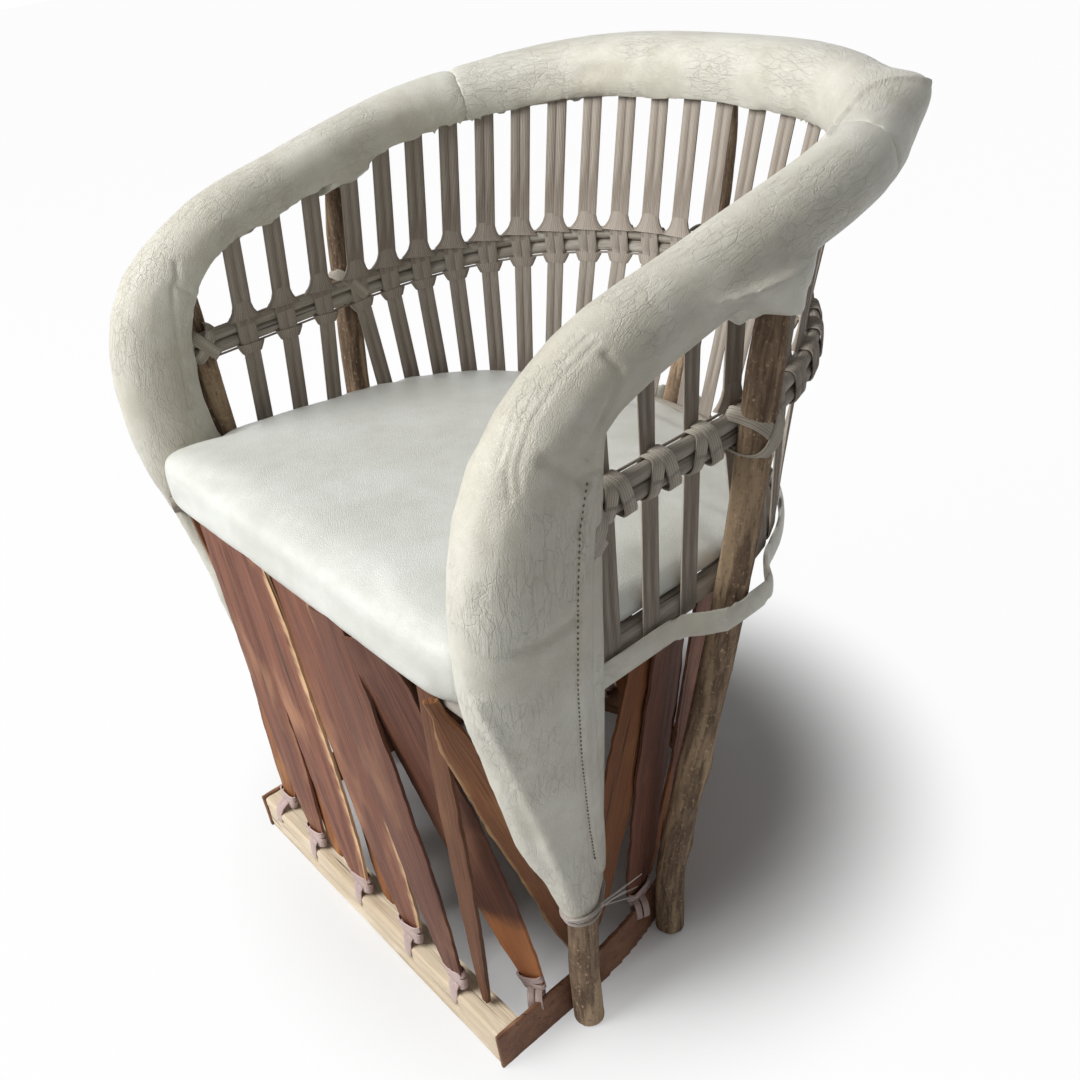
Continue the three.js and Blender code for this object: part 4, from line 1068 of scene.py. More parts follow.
def swollen(piece, pressure, most, held):
    """Blows a cover up with cloth, keeps its held points still and caps how far the rest move."""
    start = places(piece)
    group = piece.vertex_groups.new(name="held")
    for index in np.flatnonzero(held):
        group.add([int(index)], 1.0, "REPLACE")
    modifier = piece.modifiers.new("Fill", "CLOTH")
    settings = modifier.settings
    cloth = {
        "quality": 5, "mass": 0.4, "tension_stiffness": 25, "compression_stiffness": 25,
        "bending_stiffness": 2.0, "use_pressure": True, "uniform_pressure_force": pressure,
        "vertex_group_mass": "held"}
    for key, value in cloth.items():
        setattr(settings, key, value)
    settings.effector_weights.gravity = 0
    modifier.collision_settings.use_collision = False
    modifier.point_cache.frame_start = 1
    modifier.point_cache.frame_end = cloth_frames
    for number in range(1, cloth_frames + 1):
        scene.frame_set(number)
    depsgraph = bpy.context.evaluated_depsgraph_get()
    mesh = piece.evaluated_get(depsgraph).to_mesh()
    moved = np.empty(len(mesh.vertices) * 3)
    mesh.vertices.foreach_get("co", moved)
    piece.evaluated_get(depsgraph).to_mesh_clear()
    piece.modifiers.clear()
    piece.vertex_groups.clear()
    scene.frame_set(1)
    shift = moved.reshape(-1, 3) - start
    size = np.linalg.norm(shift, axis=1, keepdims=True)
    put(piece, start + shift * np.minimum(1, most / np.maximum(size, 1e-9)))
    return piece


def subdivided(piece):
    modifier = piece.modifiers.new("Fine", "SUBSURF")
    modifier.levels = 1
    modifier.render_levels = 1
    return settle(piece)


def near_node(piece, node, reach):
    """Which points of a piece lie within a reach of a model node's surface."""
    tree = surface_of(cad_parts[node].data)
    return np.array([tree.find_nearest(Vector(place), reach)[0] is not None for place in places(piece)])


def creased(piece, lines, depth, width, power=2):
    """Presses creases into a cover along lines of points, or raises a band where the depth is below 0."""
    points = places(piece)
    ways = normals(piece)
    press = np.zeros(len(points))
    for line in lines:
        for start, end in zip(line, line[1:]):
            a, b = np.array(start), np.array(end)
            share = np.clip(((points - a) @ (b - a)) / max((b - a) @ (b - a), 1e-12), 0, 1)
            away = np.linalg.norm(points - (a + share[:, None] * (b - a)), axis=1)
            press = np.maximum(press, np.exp(-(away / width) ** power))
    put(piece, points - ways * (press * depth)[:, None])
    return piece


def met(piece, others):
    """Brings the end of a leather length up against the next lengths."""
    reach, overlap, smallest = 0.005, 0.0006, 1e-6
    points = places(piece)
    for other in others:
        tree = surface_of(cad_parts[other].data)
        for i, point in enumerate(points):
            nearest = tree.find_nearest(Vector(point), reach)[0]
            if nearest is not None:
                gap = np.array(nearest) - point
                size = max(float(np.linalg.norm(gap)), smallest)
                weight = min(1, 2 * (reach - size) / reach)
                points[i] = point + gap * weight * (1 + overlap / size)
    put(piece, points)
    return piece


def nearest_on(piece, line):
    """For each point of a piece: the way to it from the line, how far along it is, and its piece of line."""
    points = places(piece)
    path = np.array([tuple(point) for point in line.points])
    best = np.full(len(points), np.inf)
    away = np.zeros((len(points), 3))
    along = np.zeros(len(points))
    part = np.zeros(len(points), dtype=int)
    for k, (a, b) in enumerate(zip(path, path[1:])):
        way = (b - a) / np.linalg.norm(b - a)
        reach = np.clip((points - a) @ way, 0, np.linalg.norm(b - a))
        gap = points - (a + reach[:, None] * way)
        size = np.linalg.norm(gap, axis=1)
        closer = size < best
        best[closer] = size[closer]
        away[closer] = gap[closer]
        along[closer] = line.reach[k] + reach[closer]
        part[closer] = k
    return away, along, part


def grained(piece, line):
    """Stores where each point lies round a line and along it, for wrinkles that follow the line."""
    away, along, part = nearest_on(piece, line)
    sides, overs = [], []
    side = Vector((1, 0, 0))
    for before, after in zip(line.points, line.points[1:]):
        way = (after - before).normalized()
        side = (side - way * side.dot(way)).normalized()
        sides.append(tuple(side))
        overs.append(tuple(side.cross(way)))
    grain = np.stack([
        (away * np.array(sides)[part]).sum(1), (away * np.array(overs)[part]).sum(1), along], axis=1)
    attribute = piece.data.attributes.new("grain", "FLOAT_VECTOR", "POINT")
    attribute.data.foreach_set("vector", grain.ravel())
    return piece


def outward_part(points, away):
    """How far out from the chair's middle each way points."""
    outward = points[:, :2] - np.array((0, hoop_middle_y))
    outward /= np.linalg.norm(outward, axis=1)[:, None]
    return (away[:, :2] * outward).sum(1)


def filled_out(piece, line, high_share):
    """Fills the notches in the inner and under side of the roll, where it runs over straps and posts."""
    points = places(piece)
    away, along = nearest_on(piece, line)[:2]
    size = np.maximum(np.linalg.norm(away, axis=1), 1e-6)
    angle = np.degrees(np.arctan2(away[:, 2], outward_part(points, away)))
    share = along / line.length
    under_angle, inner_angle = -50, 165
    first_share, last_share = 0.20, 0.82
    first_turn, last_turn = -186, -48
    turn_step, along_step, window = 12.0, 0.012, 0.05
    inside = (share > first_share) & (share < last_share) & ((angle < under_angle) | (angle > inner_angle))
    level = np.where(angle > inner_angle, angle - 360, angle)
    wanted = size.copy()
    for turn in np.arange(first_turn, last_turn, turn_step):
        row = inside & (np.abs(level - turn) < turn_step)
        for middle in np.arange(along[inside].min(), along[inside].max() + along_step, along_step):
            beside = np.abs(along - middle)
            here = row & (beside <= along_step / 2) & (np.abs(level - turn) <= turn_step / 2)
            if here.any():
                high = np.quantile(size[row & (beside < window)], high_share)
                wanted[here] = np.maximum(size[here], high)
    put(piece, points + away / size[:, None] * (wanted - size)[:, None])
    return piece


def sagged(piece, line, drop):
    """Lowers the inner under side of the roll round the back, where the leather hangs full."""
    first_share, last_share = 0.33, 0.80
    fade_in, fade_out = 0.08, 0.10
    inner_start, inner_reach = 0.45, 0.040
    under_start, under_reach, under_most = 0.25, 0.03, 1.25
    points = places(piece)
    away, along = nearest_on(piece, line)[:2]
    share = along / line.length
    inner = np.clip(inner_start - outward_part(points, away) / inner_reach, 0, 1)
    full = np.clip((share - first_share) / fade_in, 0, 1) * np.clip((last_share - share) / fade_out, 0, 1)
    under = np.clip(under_start - away[:, 2] / under_reach, 0, under_most) * full
    points[:, 2] -= under * inner * drop
    put(piece, points)
    return piece


def wrap_ring(node, post, height, side):
    """Outline of the leather where it hugs the outer side of a front post."""
    middle, half = section(post, (0, 0, height), (0, 0, 1))
    cuts = plane_cuts(node, (0, 0, height), (0, 0, 1))[:, :2]
    away = cuts - np.array(middle.xy)
    outer = cuts[(np.linalg.norm(away, axis=1) < wrap_reach) & (away[:, 0] * side > 0)]
    hug = half + wrap_skin
    arc = [(middle.x + side * hug * math.cos(turn), middle.y + hug * math.sin(turn))
           for turn in map(math.radians, range(-90, 91, 15))]
    ring = even_ring(hull([*map(tuple, outer), *arc]), wrap_points)
    return [(place.x, place.y, height) for place in ring]


def add_body(piece, rings):
    """Adds a closed body through level rings to a piece's mesh."""
    shell = bmesh.new()
    shell.from_mesh(piece.data)
    made = [[shell.verts.new(place) for place in ring] for ring in rings]
    fresh = []
    count = len(made[0])
    for below, over in zip(made, made[1:]):
        for i in range(count):
            after = (i + 1) % count
            fresh.append(shell.faces.new((below[i], below[after], over[after], over[i])))
    fresh.append(shell.faces.new(made[0][::-1]))
    fresh.append(shell.faces.new(made[-1]))
    bmesh.ops.recalc_face_normals(shell, faces=fresh)
    shell.to_mesh(piece.data)
    shell.free()
    return piece


def add_wrap(piece, node, post, tie, side):
    """Adds the leather that wraps the outer side of an arm's front post."""
    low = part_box(tie)[1].z
    heights = [low + (wrap_top - low) * i / wrap_steps for i in range(wrap_steps + 1)]
    return add_body(piece, [wrap_ring(node, post, height, side) for height in heights])


def add_drape(piece, core, post_line, drop):
    """Adds the leather that hangs from an arm over its rear post, and the stuffing behind it."""
    place, way, side = core.nearest_to(post_line.points[-1], 400)
    ahead = way if way.y < 0 else -way
    low_long, more_long = 0.022, 0.050
    low_wide, more_wide = 0.0200, 0.006
    shift_reach, spread_power = 0.036, 1.4
    wave_depth, waves, tilt = 0.03, 5, 0.007
    rings = []
    for i in range(drape_steps + 1):
        share = i / drape_steps
        height = place.z - drop + (drop - drape_lift) * share
        post = post_line.at_height(height)
        half_long = low_long + more_long * share ** spread_power
        half_wide = low_wide + more_wide * share
        shift = shift_reach * share ** spread_power
        ring = []
        for k in range(wrap_points):
            turn = math.tau * k / wrap_points
            wave = 1 + wave_depth * math.sin(waves * turn) * (1 - share)
            spot = (post + ahead * (shift + half_long * math.cos(turn) * wave)
                    + side * half_wide * math.sin(turn) * wave)
            ring.append((spot.x, spot.y, height + tilt * (1 - share) * math.cos(turn)))
        rings.append(ring)
    add_body(piece, rings)
    stuffing = []
    for i in range(1, drape_steps):
        rise = math.cos(math.pi * i / drape_steps)
        radius = stuffing_radius * math.sqrt(1 - rise ** 2)
        stuffing.append([
            (place.x + radius * math.cos(math.tau * k / wrap_points),
             place.y + radius * math.sin(math.tau * k / wrap_points),
             place.z - stuffing_radius * rise) for k in range(wrap_points)])
    return add_body(piece, stuffing)


def pulled(piece, centre, way, reach):
    """Draws a piece's surface out round a place."""
    points = places(piece)
    away = np.linalg.norm(points - np.array(centre), axis=1)
    put(piece, points + np.array(way) * np.exp(-(away / reach) ** 2)[:, None])
    return piece


def stitched(name, lines, length=0.0028):
    """Dark thread stitches along lines of points."""
    routes = [{"points": line} for line in lines if len(line) > 1]
    piece = grow(name, stitch, route_mesh(name, routes), {
        "Spacing": stitch_spacing, "Length": length, "Finish": finishes["thread"]})
    rounded(piece, 180)
    return keep(piece)


def softened(points, rounds=12, steps=90):
    """A line with its corners worn round."""
    row = np.array([tuple(Line(points).at(i / steps)[0]) for i in range(steps + 1)])
    for _ in range(rounds):
        row[1:-1] = (row[:-2] + row[1:-1] * 2 + row[2:]) / 4
    return Line(row)


def roll_leather(node, name, path, others, wrap=None, drape=None, voxel=roll_voxel):
    """A stuffed leather length of the roll, hugging its front post and hanging over its rear one."""
    piece = model_copy(node, name)
    if wrap:
        add_wrap(piece, node, *wrap)
        add_drape(piece, *drape)
    remeshed(piece, voxel)
    eased(piece, 5)
    held = near_node(piece, "roll_core", core_hold)
    if wrap:
        held |= near_node(piece, wrap[0], post_hold)
    swollen(piece, roll_pressure, roll_swell, held)
    eased(piece, 2)
    filled_out(piece, path, arm_fill_share if wrap else back_fill_share)
    eased(piece, 3)
    met(piece, others)
    subdivided(piece)
    grained(piece, path)
    return sagged(piece, path, roll_sag)


def finish_leather(piece, node):
    rounded(piece, 180)
    return keep(piece, [node], "leather")


def pressed(piece, lines, depth, width, power=2):
    """Presses creases into a cover under lines of places in the photograph."""
    return creased(piece, [seen_on(piece, marks) for marks in lines], depth, width, power)


# Lines of places in the photograph, with depth, half width and steepness, where a depth below 0 rises
right_arm_creases = {
    "deep": ([[(547, 463), (564, 469), (587, 482)],
              [(520, 653), (547, 641), (577, 620)]], 0.0030, 0.0052, 2),
    "fold": ([[(607, 355), (622, 370), (614, 395), (597, 430), (589, 459)]], 0.0022, 0.0032, 2),
    "fine": ([[(589, 335), (549, 375), (522, 417), (507, 469), (509, 501)],
              [(597, 343), (560, 379), (532, 421), (518, 466), (520, 492)],
              [(580, 330), (542, 369), (514, 413), (498, 466)]], 0.0007, 0.0019, 2),
    "hem_band": ([[(594, 484), (588, 530), (586, 600), (586, 690), (590, 760), (598, 830), (603, 862)]],
                 -hem_band_rise, hem_band_half, 8),
    "ridge": ([[(478, 705), (505, 752), (532, 808), (556, 860), (570, 892)]], -0.0030, 0.0065, 2),
}
left_arm_tucks = ([[(176, 264), (178, 280), (174, 285), (182, 289), (192, 293)],
                   [(173, 287), (174, 314), (178, 333), (184, 371), (190, 406)]], 0.0016, 0.0028)
hem_marks = [(587, 484), (580, 530), (578, 600), (578, 690), (582, 760), (590, 830), (595, 858)]
hem_depth, hem_half = 0.0012, 0.0018
welt_marks = [(827, 137), (849, 109), (862, 94), (873, 85), (890, 80), (914, 78), (929, 82)]
welt_rise, welt_half = 0.0028, 0.0028
corner_marks = [(908, 92), (910, 92)]
corner_right, corner_above, corner_reach = 0.90, 0.44, 0.027


def pull_corner(right, back):
    """Draws the seam between the right arm and the back out to a peak."""
    camera_right, camera_above = camera_axes()[:2]
    corner = seen_on(back, corner_marks) + seen_on(right, corner_marks)
    way = (camera_right * corner_right + camera_above * corner_above) * corner_pull
    for piece in (right, back):
        pulled(piece, corner[0], way, corner_reach)


def make_rolls(core, posts):
    """The three leather lengths, with their creases, welt, hem band and stitches."""
    foot_top = wrap_top - 0.06
    right_foot, left_foot = (
        [point for point in posts[node].points if point.z < foot_top]
        for node in ("front_post_right", "front_post_left"))
    path = softened(right_foot + core.points + left_foot[::-1])
    right = roll_leather(
        "arm_leather_right", "right_arm_roll", path, ["back_roll_leather"],
        ("front_post_right", "leg_tie_right", 1), (core, posts["rear_post_right"], right_drape_drop),
        right_arm_voxel)
    back = roll_leather("back_roll_leather", "back_roll", path, ["arm_leather_right", "arm_leather_left"])
    left = roll_leather(
        "arm_leather_left", "left_arm_roll", path, ["back_roll_leather"],
        ("front_post_left", "leg_tie_left", -1), (core, posts["rear_post_left"], left_drape_drop))
    pull_corner(right, back)
    for crease in right_arm_creases.values():
        pressed(right, *crease)
    welts = [seen_on(piece, welt_marks) for piece in (right, back)]
    for piece, line in zip((right, back), welts):
        creased(piece, [line], -welt_rise, welt_half)
    pressed(left, *left_arm_tucks)
    pressed(right, [hem_marks], hem_depth, hem_half)
    stitched("arm_hem_stitches", [seen_on(right, hem_marks)])
    stitched("welt_stitches", welts, length=0.0026)
    finish_leather(right, "arm_leather_right")
    finish_leather(back, "back_roll_leather")
    finish_leather(left, "arm_leather_left")


def seat_cover():
    """The stretched leather seat over its padding."""
    piece = remeshed(model_copy("seat_leather", "seat_cover"), seat_voxel)
    eased(piece, 8)
    held_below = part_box("seat_leather")[0].z + seat_hold
    held = places(piece)[:, 2] < held_below
    swollen(piece, seat_pressure, seat_swell, held)
    eased(piece, 8)
    subdivided(piece)
    rounded(piece, 180)
    return keep(piece, ["seat_leather"], "seat_leather")


def seat_hem():
    """The rolled leather that wraps the seat's edge and the rear posts."""
    piece = remeshed(model_copy("seat_hem", "rolled_seat_hem"), hem_voxel)
    eased(piece, 4)
    subdivided(piece)
    rounded(piece, 180)
    return keep(piece, ["seat_hem"], "leather")


# Lacing
def squared_off(value, power):
    """A sine or cosine drawn towards its ends, so that a loop comes out nearly square."""
    return math.copysign(abs(value) ** power, value)


def cord_piece(name, routes, width, thickness, finish, nodes=(), degrees=55):
    """Flat cords along their routes, as one piece."""
    piece = grow(name, flat_cord, route_mesh(name, routes), {
        "Width": width, "Thickness": thickness, "Step": cord_step, "Finish": finishes[finish]})
    rounded(piece, degrees)
    return keep(piece, nodes)


def strap_places(core, rod, seat, posts):
    """Shares along the core, the rods and the seat hoop of each strap, by bay, on the right half."""
    lines = [(core, core.at(0.5)[0].z), (rod, rod_height), (seat, seat_hoop_height)]
    fronts, rears = (
        [line.share_at_y(posts[node].at_height(height).y) for line, height in lines]
        for node in ("front_post_right", "rear_post_right"))
    side = []
    for i in range(1, side_lace_count + 1):
        share = i / (side_lace_count + 1)
        side.append([front + (rear - front) * share for front, rear in zip(fronts, rears)])
    back = []
    seat_first = rears[2] + lace_post_margin / seat.length
    seat_last = 0.5 - lace_centre_margin / seat.length
    for i in range(back_lace_count):
        share = i / (back_lace_count - 0.5)
        back.append([
            rears[0] + (0.5 - rears[0]) * share,
            rears[1] + (0.5 - rears[1]) * share,
            seat_first + (seat_last - seat_first) * i / (back_lace_count - 1)])
    return {"side": side, "back": back}


def strap_stations(top, rod, seat):
    """A strap's middle line and the way it faces, in its length over and under the rods."""
    half = lace_thickness / 2 + clearance
    core_place, core_way, core_side = top
    rod_place, rod_way, rod_side = rod
    seat_place, seat_way, seat_side = seat
    core_reach = core_radius + half + lace_core_slack
    seat_reach = seat_hoop_radius + half
    near_middle = 0.2
    upper, lower = [], []
    steps = 5
    for i in range(steps, -1, -1):
        angle = math.radians(lace_hook_degrees) * i / steps
        way = (up * math.sin(angle) - core_side * math.cos(angle)).normalized()
        upper.append((core_place + way * core_reach, way, core_way))
    face = rod_place - rod_side * (rod_radius + half)
    for stations, lifts in ((upper, (1, near_middle)), (lower, (-near_middle, -1))):
        stations += [(face + up * rods_top * lift, -rod_side, rod_way) for lift in lifts]
    for i in range(steps + 1):
        angle = math.radians(lace_hook_degrees) * i / steps
        way = (seat_side * math.cos(angle) - up * math.sin(angle)).normalized()
        lower.append((seat_place + way * seat_reach, -way, seat_way))
    return upper, lower


def strap_cord(stations, across, first_girth, last_girth):
    """A route beside a strap's middle line that turns from one girth to another."""
    last = len(stations) - 1
    girths = [first_girth + (last_girth - first_girth) * i / last for i in range(last + 1)]
    return {
        "points": [place + way * across * girth for (place, face, way), girth in zip(stations, girths)],
        "facing": [face for place, face, way in stations],
        "girth": girths,
    }


def rod_loop(rod, across, half_depth, half_height, slant=0.0, around=18):
    """A closed loop round both rods, leaning along them."""
    place, way, side = rod
    points, facing = [], []
    for i in range(around):
        angle = math.tau * i / around
        out = squared_off(math.cos(angle), 0.55)
        high = squared_off(math.sin(angle), 0.55)
        lean = way * (across + slant * high)
        points.append(place + lean + side * out * half_depth + up * high * half_height)
        facing.append((side * out / half_depth + up * high / half_height).normalized())
    return {"points": points, "facing": facing, "closed": True}


def strap_flares(rod, upper, lower):
    """The funnel over the rods and the collar under them, where a strap spreads."""
    place, side = rod[0], rod[2]
    face = place - side * (rod_radius + lace_thickness / 2 + clearance)
    up_way = (upper[-3][0] - upper[-2][0]).normalized()
    down_way = (lower[2][0] - lower[1][0]).normalized()
    funnel = [(1.0, 0.84), (0.8, 0.98), (0.5, 1.14), (0.25, 1.40), (0.0, funnel_spread)]
    collar = [(0.0, collar_spread * 1.16), (0.5, collar_spread), (1.0, collar_spread * 0.80)]
    return [{
        "points": [face + up * start + way * height * lift for lift, girth in flare],
        "facing": [-side] * len(flare),
        "girth": [girth for lift, girth in flare],
    } for start, way, height, flare in (
        (rods_top, up_way, funnel_height, funnel), (-rods_top, down_way, collar_height, collar))]


def lacing_bay(name, node, straps, core, rod, seat, plain):
    """All cords of one bay: flat straps with their wraps round the rods, flared at the rods on the back."""
    top_girth, rod_girth, low_girth = (1.4, 0.62, 0.806) if plain else (1.0, 1.0, 0.86)
    seat_girth = 0.94
    wrap_lift = lace_thickness * 0.7
    cords, funnels, wraps, loops = [], [], [], []
    wrap_depth = rod_radius + wrap_lift + clearance
    loop_depth = rod_radius + lace_thickness + clearance
    for core_share, rod_share, seat_share in straps:
        middle = rod.at(rod_share)
        upper, lower = strap_stations(core.at(core_share), middle, seat.at(seat_share))
        for beside in (-lace_width / 4, lace_width / 4):
            cords.append(strap_cord(upper, beside, top_girth, rod_girth))
            cords.append(strap_cord(lower, beside, low_girth, seat_girth))
            if not plain:
                wraps.append(rod_loop(middle, beside, wrap_depth, rods_top + wrap_lift))
        if plain:
            for across, slant, layer in ((-0.0075, 0.0045, 0.0), (0.0075, -0.0040, 0.0016)):
                loops.append(rod_loop(
                    middle, across, loop_depth + layer, rods_top + lace_thickness + layer, slant))
        else:
            funnels += strap_flares(middle, upper, lower)
    made = [("_cords", cords, lace_width / 2, lace_thickness, "lacing")]
    if plain:
        made.append(("_loops", loops, lace_width * 0.56, lace_thickness * 0.85, "pale_lacing"))
    else:
        made.append(("_wraps", wraps, lace_width / 2, lace_thickness * 0.8, "lacing"))
        made.append(("_funnels", funnels, lace_width * 1.02, lace_thickness * 1.2, "lacing"))
    for label, routes, width, thickness, finish in made:
        cord_piece(name + label, routes, width, thickness, finish, [node])


def rod_twine(rod):
    """Thin twine along the top and the bottom of the rods, over the funnels' edges."""
    steps = 150
    end_share = 0.012
    stations = [rod.at(end_share + (1 - 2 * end_share) * i / steps) for i in range(steps + 1)]
    routes = []
    for lift in (rods_top + twine_radius, -(rods_top + twine_radius)):
        routes.append({"points": [
            place - side * (rod_radius * 0.8) + up * lift for place, way, side in stations]})
    cord_piece("rod_twine", routes, twine_radius * 2, twine_radius * 2, "lacing", degrees=60)


def make_lacing(core, rod, seat, posts):
    bays = strap_places(core, rod, seat, posts)
    for key, straps in bays.items():
        mirrored = [[1 - share for share in strap] for strap in straps]
        lacing_bay("right_" + key, "right_" + key + "_lacing", straps, core, rod, seat, key == "side")
        lacing_bay("left_" + key, "left_" + key + "_lacing", mirrored, core, rod, seat, False)
    rod_twine(rod)


# Lashings, ties and thongs
def diagonal_loop(centre, wide, deep, shift, half_wide, half_deep, around=20):
    """A closed flat loop in the plane of two directions, set off along the third."""
    across = wide.cross(deep).normalized()
    points, facing = [], []
    for i in range(around):
        angle = math.tau * i / around
        cos, sin = math.cos(angle), math.sin(angle)
        out, far = squared_off(cos, 0.7), squared_off(sin, 0.7)
        points.append(centre + wide * out * half_wide + deep * far * half_deep + across * shift)
        facing.append((wide * cos / half_wide + deep * sin / half_deep).normalized())
    return {"points": points, "facing": facing, "closed": True}


def make_lashings(rod, posts):
    """Crossed flat cords that hold the rods to each post."""
    slope, second_layer = 0.9, 0.0014
    half_wide, post_half, slack = 0.0205, 0.0125, 0.002
    routes = []
    for line in posts.values():
        post = line.at_height(rod_height)
        place, way, side = rod.nearest_to(post, 200)
        inner, outer = place - side * rod_radius, post + side * post_half
        middle = (inner + outer) / 2
        half_deep = (outer - inner).dot(side) / 2 + slack
        for turn, layer in ((-slope, 0.0), (slope, second_layer)):
            wide = (way * math.cos(turn) + up * math.sin(turn)).normalized()
            routes.append(diagonal_loop(
                Vector((middle.x, middle.y, place.z)), wide, side, 0, half_wide + layer, half_deep + layer))
    cord_piece("rod_lashings", routes, lashing_width, lashing_thickness, "pale_lacing")


def foot_loops(matrix, outline, lifts, lean):
    """Flat loops round a slat's foot, at heights above its tip."""
    turn = matrix.to_3x3()
    wide, deep, along = turn.col[0], turn.col[1], turn.col[2]
    routes = []
    for i, lift in enumerate(lifts):
        height = outline[0, 0] + lift
        half = float(np.interp(height, outline[:, 0], outline[:, 3])) + 0.0012
        tilt = lean * (1 if i % 2 else -1)
        sloped = (wide * math.cos(tilt) + along * math.sin(tilt)).normalized()
        routes.append(diagonal_loop(matrix @ Vector((0, 0, height)), sloped, deep, 0, half, 0.0046))
    return routes


def rail_thongs(tip, rail_low, rail_high):
    """Three thongs from a slat's foot over the front rail's edge and down its face."""
    hole_height = rail_low.z + (rail_high.z - rail_low.z) * 0.62
    routes = []
    for i in (-1, 0, 1):
        start = tip + Vector((0.0042 * i, -0.005, 0.010))
        edge = Vector((tip.x + 0.0028 * i, rail_low.y + 0.0015, rail_high.z + 0.0012))
        drop = Vector((tip.x + 0.0014 * i, rail_low.y - 0.0008, hole_height + 0.006))
        routes.append({
            "points": [start, start.lerp(edge, 0.55) + Vector((0, -0.001, 0.001)), edge, drop,
                       drop - up * 0.006 + Vector((0, 0.003, 0))],
            "facing": [(0, -1, 0.3), (0, -0.8, 0.6), (0, -0.7, 0.7), (0, -1, 0), (0, -1, 0)]})
    return routes


def make_thongs(feet):
    """Thongs that tie the outer slats' feet, and one inner slat's, to the front rail or the bent strip."""
    rail_low, rail_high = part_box("front_rail")
    strip_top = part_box("base_hoop")[1].z
    routes = []
    for node, (matrix, outline) in feet.items():
        tip = matrix @ Vector((0, 0, outline[0, 0]))
        if node.startswith("outer_front") or node == "inner_front_slat_1":
            routes += foot_loops(matrix, outline, (0.003, 0.007, 0.011, 0.015, 0.019), 0.16)
            routes += rail_thongs(tip, rail_low, rail_high)
        elif node.startswith("outer"):
            routes += foot_loops(matrix, outline, (0.010, 0.015, 0.020), 0.22)
            outward = Vector((tip.x, tip.y - hoop_middle_y, 0)).normalized()
            middle = Vector((tip.x, tip.y, strip_top - 0.006)) + outward * 0.006
            for shift in (-0.004, 0.004):
                routes.append(diagonal_loop(middle, up, outward, shift, 0.012, 0.0105))
    cord_piece("slat_thongs", routes, thong_width, thong_thickness, "thong")


def tie_turns(ring, height):
    """Turns of string one over the other round a leather foot."""
    heart = sum(ring, Vector()) / len(ring)
    turns = [(-0.0035, 0.0020, 0.0006), (0.0, -0.0026, 0.0012), (0.0032, 0.0012, 0.0006),
             (0.0012, 0.0034, 0.0022)]
    routes = []
    for turn, (lift, lean, out) in enumerate(turns):
        points, facing = [], []
        for i, place in enumerate(ring):
            away = (place - heart).normalized()
            swing = math.sin(math.tau * i / len(ring) + 1.1 * turn)
            points.append(Vector((place.x, place.y, height + lift + lean * swing)) + away * out)
            facing.append(away)
        routes.append({"points": points, "facing": facing, "closed": True})
    return routes


def tie_tails(start, side):
    """The string's frayed ends."""
    tails = []
    for i in range(5):
        spread = 0.35 * math.sin(2.1 * i)
        way = Vector((0.55 * side + 0.3 * spread, 0.75, 0.5 + spread)).normalized()
        reach = 0.022 + 0.006 * i
        curl = Vector((0.2 * side * math.sin(1.7 * i), 0.1, 0.5 * math.cos(1.3 * i)))
        first = start + up * (0.001 * i)
        tails.append({
            "points": [first + way * reach * share + curl * reach * share * share * 0.5
                       for share in (0.0, 0.25, 0.5, 0.75, 1.0)],
            "girth": [1.0, 0.8, 0.65, 0.5, 0.3]})
    return tails


def make_leg_ties():
    """String wound round each leather foot and its post, with frayed ends."""
    for node, leather, post, side in [
            ("leg_tie_right", "arm_leather_right", "front_post_right", 1),
            ("leg_tie_left", "arm_leather_left", "front_post_left", -1)]:
        low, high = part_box(node)
        height = (low.z + high.z) / 2
        middle, half = section(post, (0, 0, height), (0, 0, 1))
        cuts = plane_cuts(leather, (0, 0, height), (0, 0, 1))[:, :2]
        near = cuts[np.linalg.norm(cuts - np.array(middle.xy), axis=1) < wrap_reach]
        hug = half + wrap_skin
        arc = [(middle.x + hug * math.cos(turn), middle.y + hug * math.sin(turn))
               for turn in map(math.radians, range(0, 360, 15))]
        ring = even_ring(hull([*map(tuple, near), *arc]), 40)
        back = max(ring, key=lambda place: place.y * 0.7 + place.x * side)
        start = Vector((back.x, back.y, height))
        routes = tie_turns(ring, height) + tie_tails(start, side)
        cord_piece(
            "string_" + node, routes, string_width, string_thickness, "string", [node], 60)


# Camera, lights and floor
def make_camera():
    right, above, ahead = camera_axes()
    lens = bpy.data.cameras.new("camera")
    lens.lens = camera_lens_mm
    lens.sensor_width = sensor_mm
    lens.clip_end = 100
    camera = link(bpy.data.objects.new("camera", lens))
    matrix = Matrix((right, above, -ahead)).transposed().to_4x4()
    matrix.translation = Vector(camera_place)
    camera.matrix_world = matrix
    scene.camera = camera


def soft_lamp(name, place, size, power):
    """A round lamp that looks at the chair's middle."""
    lamp = bpy.data.lights.new(name, "AREA")
    lamp.shape = "DISK"
    lamp.size = size
    lamp.energy = power
    item = link(bpy.data.objects.new(name, lamp))
    item.location = place
    item.rotation_mode = "QUATERNION"
    item.rotation_quaternion = (Vector(lamp_target) - Vector(place)).to_track_quat("-Z", "Y")


def seen_directly(tree):
    """1 for what the camera sees itself, in a reflection or through something clear, and 0 for light."""
    path = tree.nodes.new("ShaderNodeLightPath")
    return calc(tree, "MAXIMUM", path.outputs["Is Camera Ray"], calc(
        tree, "MAXIMUM", path.outputs["Is Glossy Ray"], path.outputs["Is Transmission Ray"]))


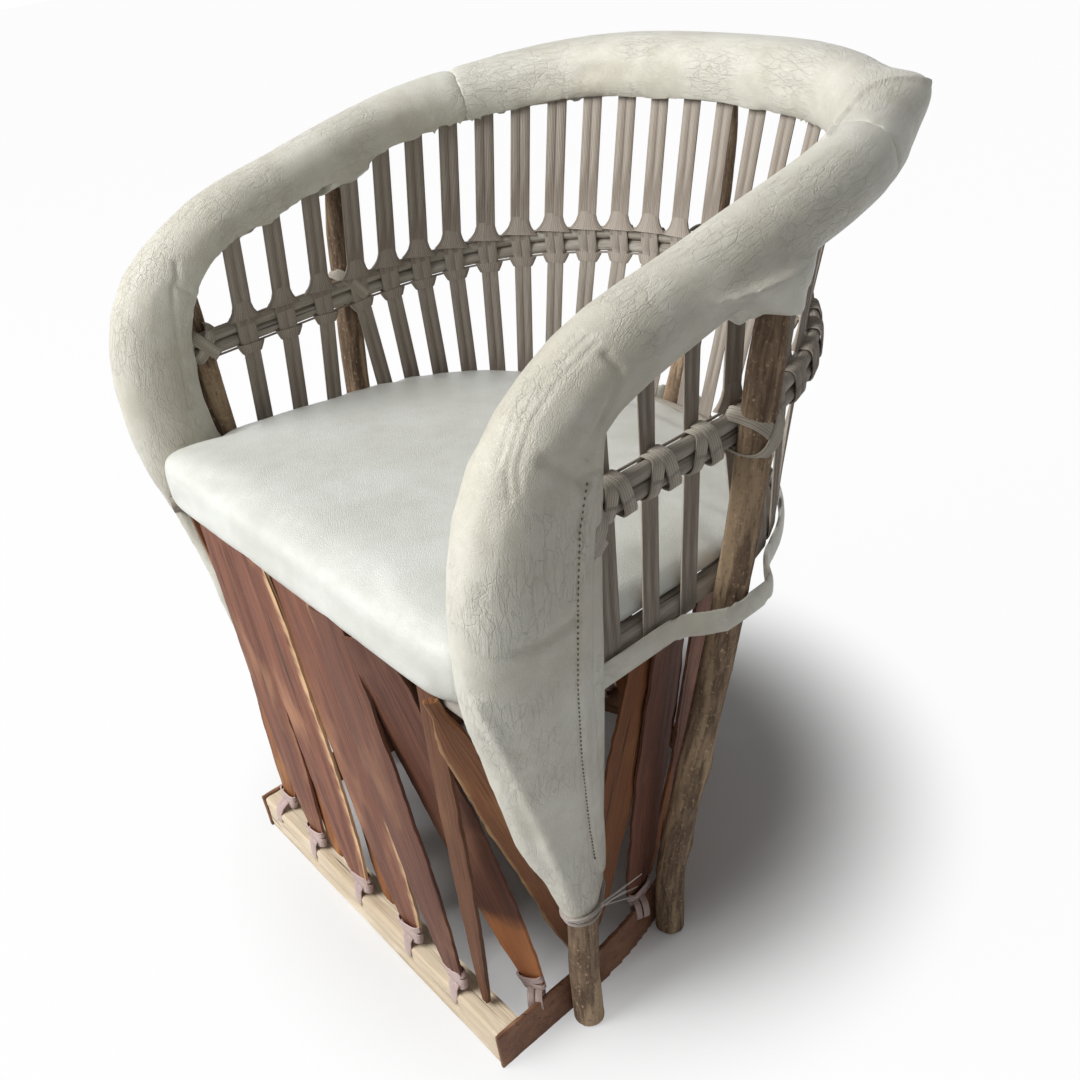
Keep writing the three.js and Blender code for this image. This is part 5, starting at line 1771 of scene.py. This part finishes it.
def make_sky():
    """A soft even sky that lights little and is seen as white."""
    world = bpy.data.worlds.new("studio")
    scene.world = world
    tree = empty_nodes(world)
    sky = add(tree, "ShaderNodeBackground", {"Color": (1, 1, 1, 1), "Strength": sky_light})
    white = add(tree, "ShaderNodeBackground", {"Color": (1, 1, 1, 1), "Strength": 1.0})
    both = add(tree, "ShaderNodeMixShader", {
        0: seen_directly(tree), 1: sky.outputs[0], 2: white.outputs[0]})
    output = tree.nodes.new("ShaderNodeOutputWorld")
    tree.links.new(both.outputs[0], output.inputs["Surface"])


def make_floor():
    """A matt floor that turns to the sky's white away from the chair."""
    mesh = bpy.data.meshes.new("floor")
    corners = [(x * floor_half, y * floor_half, 0) for x, y in ((-1, -1), (1, -1), (1, 1), (-1, 1))]
    mesh.from_pydata(corners, [], [(0, 1, 2, 3)])
    floor = link(bpy.data.objects.new("floor", mesh))
    finish = bpy.data.materials.new("floor")
    tree = empty_nodes(finish)
    matt = add(tree, "ShaderNodeBsdfDiffuse", {"Color": (floor_grey, floor_grey, floor_grey, 1)})
    white = add(tree, "ShaderNodeEmission", {"Color": (1, 1, 1, 1), "Strength": 1.0})
    place = add(tree, "ShaderNodeTexCoord").outputs["Object"]
    away = add(tree, "ShaderNodeVectorMath", {0: place}, operation="LENGTH").outputs["Value"]
    amount = times(tree, faded(tree, away, *floor_fade), floor_fade_most)
    surface = add(tree, "ShaderNodeMixShader", {
        0: times(tree, seen_directly(tree), amount), 1: matt.outputs[0], 2: white.outputs[0]})
    output = tree.nodes.new("ShaderNodeOutputMaterial")
    tree.links.new(surface.outputs[0], output.inputs["Surface"])
    mesh.materials.append(finish)


scene.view_settings.view_transform = "Standard"
make_camera()
soft_lamp("key", key_place, key_size, key_power)
soft_lamp("fill", fill_place, fill_size, fill_power)
make_sky()
make_floor()
post_lines = make_posts()
seat_line, rod_line, core_line = make_hoops()
make_base()
slat_feet = make_slats()
make_rolls(core_line, post_lines)
seat_cover()
seat_hem()
make_lacing(core_line, rod_line, seat_line, post_lines)
make_lashings(rod_line, post_lines)
make_thongs(slat_feet)
make_leg_ties()
